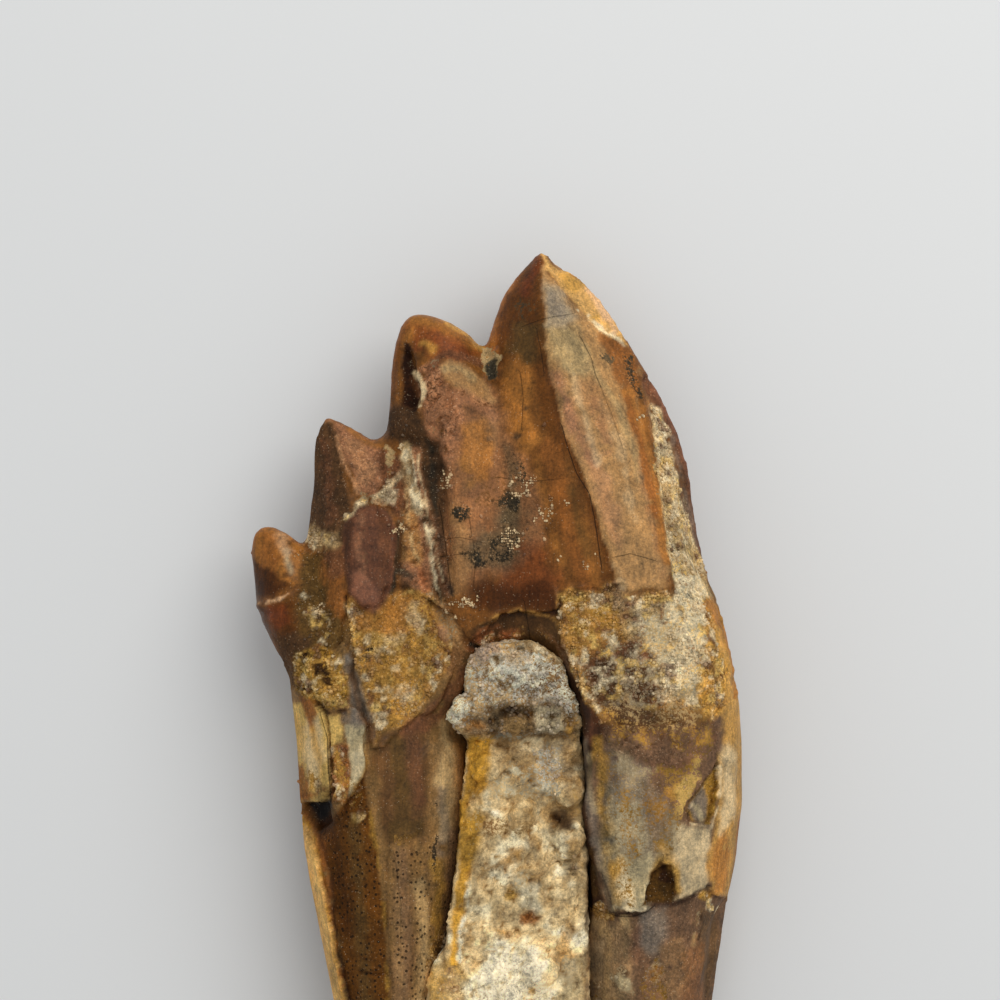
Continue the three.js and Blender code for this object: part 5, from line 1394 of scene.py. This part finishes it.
def make_sand(sizes, colours):
    """Grains of sand held on the crusts and sprinkled on the crown."""
    rng = np.random.default_rng(sizes.seed)
    shapes = grain_shapes(rng)
    heap = bmesh.new()
    tones = []
    for host, number in (("tooth_skin", sizes.grains), ("matrix_fill", sizes.matrix_grains)):
        surface = Surface(bpy.data.objects[host])
        normals = surface.normals()
        cover, loose = sand_cover(surface, normals)
        chosen = rng.choice(surface.count, number, replace=False, p=cover / cover.sum())
        tint = surface.fetch_colour("tint")
        fleck = surface.fetch_colour("fleck")
        tint = tint + (0.6 * ease(surface.fetch("cover"), 0, 0.8))[:, None] * (fleck - tint)
        tint += ease(loose, 0.1, 0.4)[:, None] * (np.array(colours.spar_cream) - tint)
        for index in chosen:
            size = sizes.grain_size / MM * float(rng.uniform(0.5, 1.4)) ** 2 * (1 - 0.4 * loose[index])
            turn = Euler(rng.uniform(0, math.tau, 3)).to_matrix().to_4x4()
            spot = surface.places[index] + normals[index] * size * 0.25
            grain = shapes[int(rng.integers(len(shapes)))].copy()
            stretch = Matrix.Diagonal((*(size * rng.uniform(0.75, 1.2, 3)), 1))
            grain.transform(Matrix.Scale(MM, 4) @ Matrix.Translation(spot) @ turn @ stretch)
            heap.from_mesh(grain)
            bpy.data.meshes.remove(grain)
            tones.append(tint[index] * rng.uniform(0.7, 1.35))
    for shape in shapes:
        bpy.data.meshes.remove(shape)
    piece = add_object("sand_grains", mesh_from(heap, "sand_grains"))
    surface = Surface(piece)
    surface.keep("tint", np.repeat(np.clip(tones, 0, 0.9), surface.count // len(tones), axis=0))
    finish_piece(piece, None, sand_material())
    piece.data.polygons.foreach_set("use_smooth", np.zeros(len(piece.data.polygons), bool))


# Materials


class Signal:
    """A socket of a node tree. Arithmetic on it adds the Math nodes for it."""

    def __init__(self, tree, socket):
        self.tree = tree
        self.socket = socket

    @classmethod
    def node(cls, tree, kind, settings=None, values=None, out=0):
        """Adds a node, sets it up, fills or links its sockets, and gives one of its outputs."""
        made = tree.nodes.new(kind)
        for name, value in (settings or {}).items():
            setattr(made, name, value)
        for name, value in (values or {}).items():
            if isinstance(value, Signal):
                tree.links.new(value.socket, made.inputs[name])
            else:
                made.inputs[name].default_value = value
        return cls(tree, made.outputs[out])

    def output(self, name):
        """Another output of the same node."""
        return Signal(self.tree, self.socket.node.outputs[name])

    def maths(self, operation, first, second=0.0, clamp=False):
        """A Math node on signals or numbers."""
        settings = {"operation": operation, "use_clamp": clamp}
        return Signal.node(self.tree, "ShaderNodeMath", settings, {0: first, 1: second})

    def __add__(self, other):
        return self.maths("ADD", self, other)

    __radd__ = __add__

    def __sub__(self, other):
        return self.maths("SUBTRACT", self, other)

    def __rsub__(self, other):
        return self.maths("SUBTRACT", other, self)

    def __mul__(self, other):
        return self.maths("MULTIPLY", self, other)

    __rmul__ = __mul__

    def __abs__(self):
        return self.maths("ABSOLUTE", self)

    def clamp(self):
        return self.maths("ADD", self, 0.0, clamp=True)

    def step(self, low, high):
        """0 at `low`, 1 at `high`, smooth between them; `low` may be the greater."""
        settings = {"interpolation_type": "SMOOTHSTEP"}
        values = {"Value": self, "From Min": low, "From Max": high}
        return Signal.node(self.tree, "ShaderNodeMapRange", settings, values)


def new_material(name):
    """A material with an empty node tree, and a function that adds nodes to it."""
    material = bpy.data.materials.new(name)
    material.use_nodes = True
    tree = material.node_tree
    tree.nodes.clear()

    def node(kind, settings=None, values=None, out=0):
        return Signal.node(tree, kind, settings, values, out)

    return material, node


def attribute(node, name, out="Fac"):
    """A painted attribute of the mesh."""
    return node("ShaderNodeAttribute", {"attribute_name": name}, out=out)


def blend_colours(node, share, first, second, mode="MIX"):
    """Mix of two colours by a share from 0 to 1."""
    settings = {"data_type": "RGBA", "blend_type": mode}
    return node("ShaderNodeMix", settings, {0: share, 6: first, 7: second}, out=2)


def grey(node, value):
    """A value as a grey colour, to multiply a colour with."""
    return node("ShaderNodeCombineColor", None, {"Red": value, "Green": value, "Blue": value})


def noise_texture(node, where, per_mm, detail, roughness=0.5, warp=0.0):
    """Smooth noise with `per_mm` waves in a millimetre."""
    values = {"Vector": where, "Scale": per_mm / MM, "Detail": detail, "Roughness": roughness}
    return node("ShaderNodeTexNoise", None, {**values, "Distortion": warp}, out="Fac")


def cell_texture(node, where, per_mm):
    """Distance to the nearest of `per_mm` scattered points in a millimetre, and that point's number."""
    values = {"Vector": where, "Scale": per_mm / MM}
    distance = node("ShaderNodeTexVoronoi", {"feature": "F1"}, values, out="Distance")
    number = node("ShaderNodeSeparateColor", None, {"Color": distance.output("Color")}, out="Red")
    return distance, number


def shade(node, material, **values):
    """The one Principled shader of a material, joined to its output."""
    names = {name.replace("_", " "): value for name, value in values.items()}
    surface = node("ShaderNodeBsdfPrincipled", None, names)
    node_tree = material.node_tree
    output = node_tree.nodes.new("ShaderNodeOutputMaterial")
    node_tree.links.new(surface.socket, output.inputs["Surface"])
    return material


def stone_material(name, gloss, relief, crumb_scale, cool, warm):
    """Enamel, dentine, crust and crystal: the painted attributes say which, and noise gives the grain."""
    material, node = new_material(name)
    where = node("ShaderNodeTexCoord", out="Object")
    upright = node("ShaderNodeMapping", None, {"Vector": where, "Scale": (1.0, 0.13, 1.0)})
    polish, grit, dots = (attribute(node, n) for n in ("polish", "grit", "dots"))

    broad = noise_texture(node, where, PER_MM["broad"], 3)
    fine = noise_texture(node, where, PER_MM["fine"], 5, 0.65)
    crumb = noise_texture(node, where, crumb_scale, 7, 0.8)
    streaks = noise_texture(node, upright, PER_MM["streaks"], 5, 0.65, 0.3)
    pebble, pebble_tone = cell_texture(node, where, PER_MM["pebbles"])
    dust, dust_tone = cell_texture(node, where, PER_MM["dust"])
    spot, spot_luck = cell_texture(node, where, PER_MM["spots"])

    smooth = (fine - 0.5) * 2.2 + 0.5
    scatter = smooth + (pebble_tone * 0.3 + dust_tone * 0.35 + crumb * 1.2 - 0.42 - smooth) * grit
    cover = attribute(node, "cover")
    flecked = ((cover - scatter) * 5 + 0.5).clamp() * cover.step(0.02, 0.12)
    spotted = spot.step(0.37, 0.26) * spot_luck.step(0.3, 0.45) * dots
    cracked = abs(attribute(node, "crack")).step(0.065, 0.02) * attribute(node, "crack_strength")
    crazed = abs(streaks - 0.47).step(0.012, 0.003) * polish * broad.step(0.47, 0.6)
    # Glints: pale specks painted into the colour, partly pale grains and partly painted sparkle of small
    # crystals.
    glint_share = (broad.step(0.5, 0.62) * 0.5 + grit * 0.7).clamp()
    glints = dust_tone.step(0.92, 0.95) * dust.step(0.5, 0.3) * glint_share

    tint = attribute(node, "tint", "Color")
    fleck = attribute(node, "fleck", "Color")
    colour = blend_colours(node, flecked, tint, fleck)
    hue = (0.5 + (broad - 0.5) * 0.9 + (streaks - 0.5) * 0.8 + (fine - 0.5) * 1.1).clamp()
    colour = blend_colours(node, 1.0, colour, blend_colours(node, hue, cool, warm), "MULTIPLY")
    shading = 1 + (streaks - 0.5) * (2.1 - polish * 1.2) * (1 - grit)
    shading = shading + (broad - 0.5) * 1.2 + (fine - 0.5) * 1.4
    gaps = crumb.step(0.44, 0.32) * grit
    grain = (dust_tone - 0.5) * (0.22 + grit * 0.4) + ((pebble_tone - 0.5) * 0.6 - pebble * 0.45) * grit
    mottle = 1 + grit * 0.35 + grain + (crumb - 0.5) * (0.6 + grit) - gaps * 0.4
    colour = blend_colours(node, 1.0, colour, grey(node, shading * mottle), "MULTIPLY")
    dark = (cracked * 0.75 + spotted * 0.85 + crazed * 0.45).clamp()
    colour = blend_colours(node, dark, colour, CRACK_COLOUR)
    colour = blend_colours(node, glints * 0.5, colour, GLINT_COLOUR)

    bumps = fine * 0.2 + (crumb * 1.3 - pebble * 0.35) * grit + streaks * 0.12
    values = {"Height": bumps - cracked * 0.8, "Strength": relief, "Distance": 0.2 * MM}
    bump = node("ShaderNodeBump", None, values, out="Normal")
    rough = 0.88 - polish * (0.88 - gloss) + (fine - 0.5) * 0.3 + dark * 0.2
    return shade(
        node, material, Base_Color=colour, Roughness=rough.clamp(), Normal=bump,
        Coat_Weight=polish * 0.04, Coat_Roughness=0.25, Specular_IOR_Level=0.1,
    )


def sand_material():
    """Dull grains in the colours that each of them was given."""
    material, node = new_material("fossil_sand")
    where = node("ShaderNodeTexCoord", out="Object")
    shading = 0.7 + noise_texture(node, where, 4, 3) * 0.6
    colour = blend_colours(node, 1.0, attribute(node, "tint", "Color"), grey(node, shading), "MULTIPLY")
    rough = 0.45 + noise_texture(node, where, 2, 2) * 0.4
    return shade(node, material, Base_Color=colour, Roughness=rough)


def floor_material(colour):
    """An even pale floor with a faint drift in its tone."""
    material, node = new_material("pale_floor")
    where = node("ShaderNodeTexCoord", out="Object")
    drift = noise_texture(node, where, 0.004, 3)
    base = blend_colours(node, 0.97 + drift * 0.03, (0, 0, 0, 1), (*colour, 1))
    return shade(node, material, Base_Color=base, Roughness=0.5)


# Stage


def make_stage(stage):
    """A pale floor, one soft key light, an even sky, and a camera that looks straight down."""
    shape = bmesh.new()
    bmesh.ops.create_grid(shape, x_segments=1, y_segments=1, size=stage.floor_size / 2)
    mesh = mesh_from(shape, "floor")
    mesh.materials.append(floor_material(stage.floor_colour))
    floor = add_object("floor", mesh)

    lamp = bpy.data.lights.new("key", "AREA")
    lamp.shape = "DISK"
    lamp.size = stage.key_size
    lamp.energy = stage.key_power
    lamp.color = KEY_COLOUR
    key = add_object("key", lamp)
    key.location = FOCUS + Vector(stage.key_place)
    key.rotation_euler = (-Vector(stage.key_place)).to_track_quat("-Z", "Y").to_euler()

    world = bpy.data.worlds.new("studio")
    world.use_nodes = True
    background = world.node_tree.nodes["Background"]
    background.inputs["Color"].default_value = (*stage.sky_colour, 1)
    background.inputs["Strength"].default_value = stage.sky_strength
    scene = bpy.context.scene
    scene.world = world
    scene.view_settings.view_transform = "Standard"

    lens = bpy.data.cameras.new("camera")
    lens.lens = LENS_LENGTH
    lens.sensor_width = SENSOR_WIDTH
    lens.clip_start = 0.01
    camera = add_object("camera", lens)
    camera.location = FOCUS + Vector((0, 0, stage.frame_width * LENS_LENGTH / SENSOR_WIDTH))
    scene.camera = camera


# Settings


class FossilSizes(bpy.types.PropertyGroup):
    """Sizes of the sculpted surface."""

    spacing: FloatProperty(
        name="Spacing", description="Distance between the tooth's vertices before the front is refined",
        default=0.5 * MM, min=0.3 * MM, unit="LENGTH", precision=5)
    smoothing: IntProperty(
        name="Smoothing", description="Rounds of smoothing that take the facets off the solid",
        default=26, min=0)
    crust_lumps: FloatProperty(
        name="Crust lumps", description="Height of the lumps on the sandy crusts",
        default=0.28 * MM, unit="LENGTH", precision=5)
    matrix_spacing: FloatProperty(
        name="Matrix spacing", description="Distance between the matrix's vertices",
        default=0.26 * MM, min=0.2 * MM, unit="LENGTH", precision=5)
    matrix_swell: FloatProperty(
        name="Matrix swell", description="How far the matrix grows sideways to meet the roots",
        default=0.3 * MM, unit="LENGTH", precision=5)
    crystal_relief: FloatProperty(
        name="Crystals", description="Height of the crystals of the matrix",
        default=0.7 * MM, unit="LENGTH", precision=5)
    grain_size: FloatProperty(
        name="Grain", description="Radius of a grain of sand", default=0.12 * MM, unit="LENGTH", precision=5)
    grains: IntProperty(name="Grains", description="Grains of sand on the tooth", default=3200, min=1)
    matrix_grains: IntProperty(
        name="Matrix grains", description="Grains of sand on the matrix", default=700, min=1)
    seed: IntProperty(name="Seed", description="Start of the random numbers for the sand", default=5)


class FossilStage(bpy.types.PropertyGroup):
    """Floor, light and camera."""

    floor_size: FloatProperty(name="Floor", description="Side of the floor", default=3.0, unit="LENGTH")
    floor_colour: FloatVectorProperty(
        name="Floor colour", description="Colour of the floor", subtype="COLOR", default=(0.78, 0.785, 0.78),
        min=0, max=1)
    key_size: FloatProperty(
        name="Key size", description="Width of the soft key light", default=0.5, unit="LENGTH")
    key_power: FloatProperty(
        name="Key power", description="Power of the key light", default=1.4, unit="POWER")
    key_place: FloatVectorProperty(
        name="Key place", description="Where the key light stands, from the tooth", subtype="TRANSLATION",
        default=(0.17, 0.27, 0.36), unit="LENGTH")
    sky_colour: FloatVectorProperty(
        name="Sky colour", description="Colour of the light from all round", subtype="COLOR",
        default=(0.96, 0.98, 1.0), min=0, max=1)
    sky_strength: FloatProperty(name="Sky strength", description="Strength of that light", default=0.57)
    frame_width: FloatProperty(
        name="Frame width", description="Width that the camera sees", default=0.1, unit="LENGTH")


def screen_colour(code):
    """A colour as shown on screen, turned to the linear values that shaders use."""
    parts = [int(code[i:i + 2], 16) / 255 for i in (0, 2, 4)]
    return tuple(p / 12.92 if p <= 0.04045 else ((p + 0.055) / 1.055) ** 2.4 for p in parts)


FossilColours = type("FossilColours", (bpy.types.PropertyGroup,), {
    "__doc__": "Colours of the fossil's surfaces.",
    "__annotations__": {
        name: FloatVectorProperty(
            name=name.replace("_", " ").capitalize(), description=use, subtype="COLOR",
            default=screen_colour(code), min=0, max=1)
        for name, (use, code) in COLOURS.items()
    },
})


class FOSSIL_OT_tooth_skin(bpy.types.Operator):
    """Sculpt and paint the tooth"""

    bl_idname = "fossil.tooth_skin"
    bl_label = "Tooth"

    def execute(self, context):
        make_tooth(context.scene.fossil_sizes, context.scene.fossil_colours)
        return {"FINISHED"}


class FOSSIL_OT_matrix_fill(bpy.types.Operator):
    """Sculpt and paint the matrix between the roots"""

    bl_idname = "fossil.matrix_fill"
    bl_label = "Matrix"

    def execute(self, context):
        make_matrix(context.scene.fossil_sizes, context.scene.fossil_colours)
        return {"FINISHED"}


class FOSSIL_OT_sand_grains(bpy.types.Operator):
    """Scatter sand on the crusts"""

    bl_idname = "fossil.sand_grains"
    bl_label = "Sand"

    def execute(self, context):
        for host in ("tooth_skin", "matrix_fill"):
            if host not in bpy.data.objects:
                raise RuntimeError(f"make {host} before the sand")
        make_sand(context.scene.fossil_sizes, context.scene.fossil_colours)
        return {"FINISHED"}


class FOSSIL_OT_stage(bpy.types.Operator):
    """Set up the floor, light and camera"""

    bl_idname = "fossil.stage"
    bl_label = "Stage"

    def execute(self, context):
        make_stage(context.scene.fossil_stage)
        return {"FINISHED"}


class FOSSIL_PT_sidebar(bpy.types.Panel):
    """The fossil's pieces and their settings"""

    bl_idname = "FOSSIL_PT_sidebar"
    bl_label = "Fossil Whale Tooth"
    bl_space_type = "VIEW_3D"
    bl_region_type = "UI"
    bl_category = "Fossil"

    def draw(self, context):
        layout = self.layout
        for operator in OPERATORS:
            layout.operator(operator.bl_idname)
        for group in SETTINGS:
            settings = getattr(context.scene, group)
            box = layout.box()
            for name in settings.bl_rna.properties.keys():
                if name not in ("rna_type", "name"):
                    box.prop(settings, name)


OPERATORS = (FOSSIL_OT_stage, FOSSIL_OT_tooth_skin, FOSSIL_OT_matrix_fill, FOSSIL_OT_sand_grains)
SETTINGS = {"fossil_sizes": FossilSizes, "fossil_stage": FossilStage, "fossil_colours": FossilColours}


def register():
    for kind in (*SETTINGS.values(), *OPERATORS, FOSSIL_PT_sidebar):
        bpy.utils.register_class(kind)
    for name, kind in SETTINGS.items():
        setattr(bpy.types.Scene, name, PointerProperty(type=kind))


def unregister():
    for name in SETTINGS:
        delattr(bpy.types.Scene, name)
    for kind in reversed((*SETTINGS.values(), *OPERATORS, FOSSIL_PT_sidebar)):
        bpy.utils.unregister_class(kind)


def main():
    register()
    bpy.ops.fossil.stage()
    bpy.ops.fossil.tooth_skin()
    bpy.ops.fossil.matrix_fill()
    bpy.ops.fossil.sand_grains()


if __name__ == "__main__":
    main()
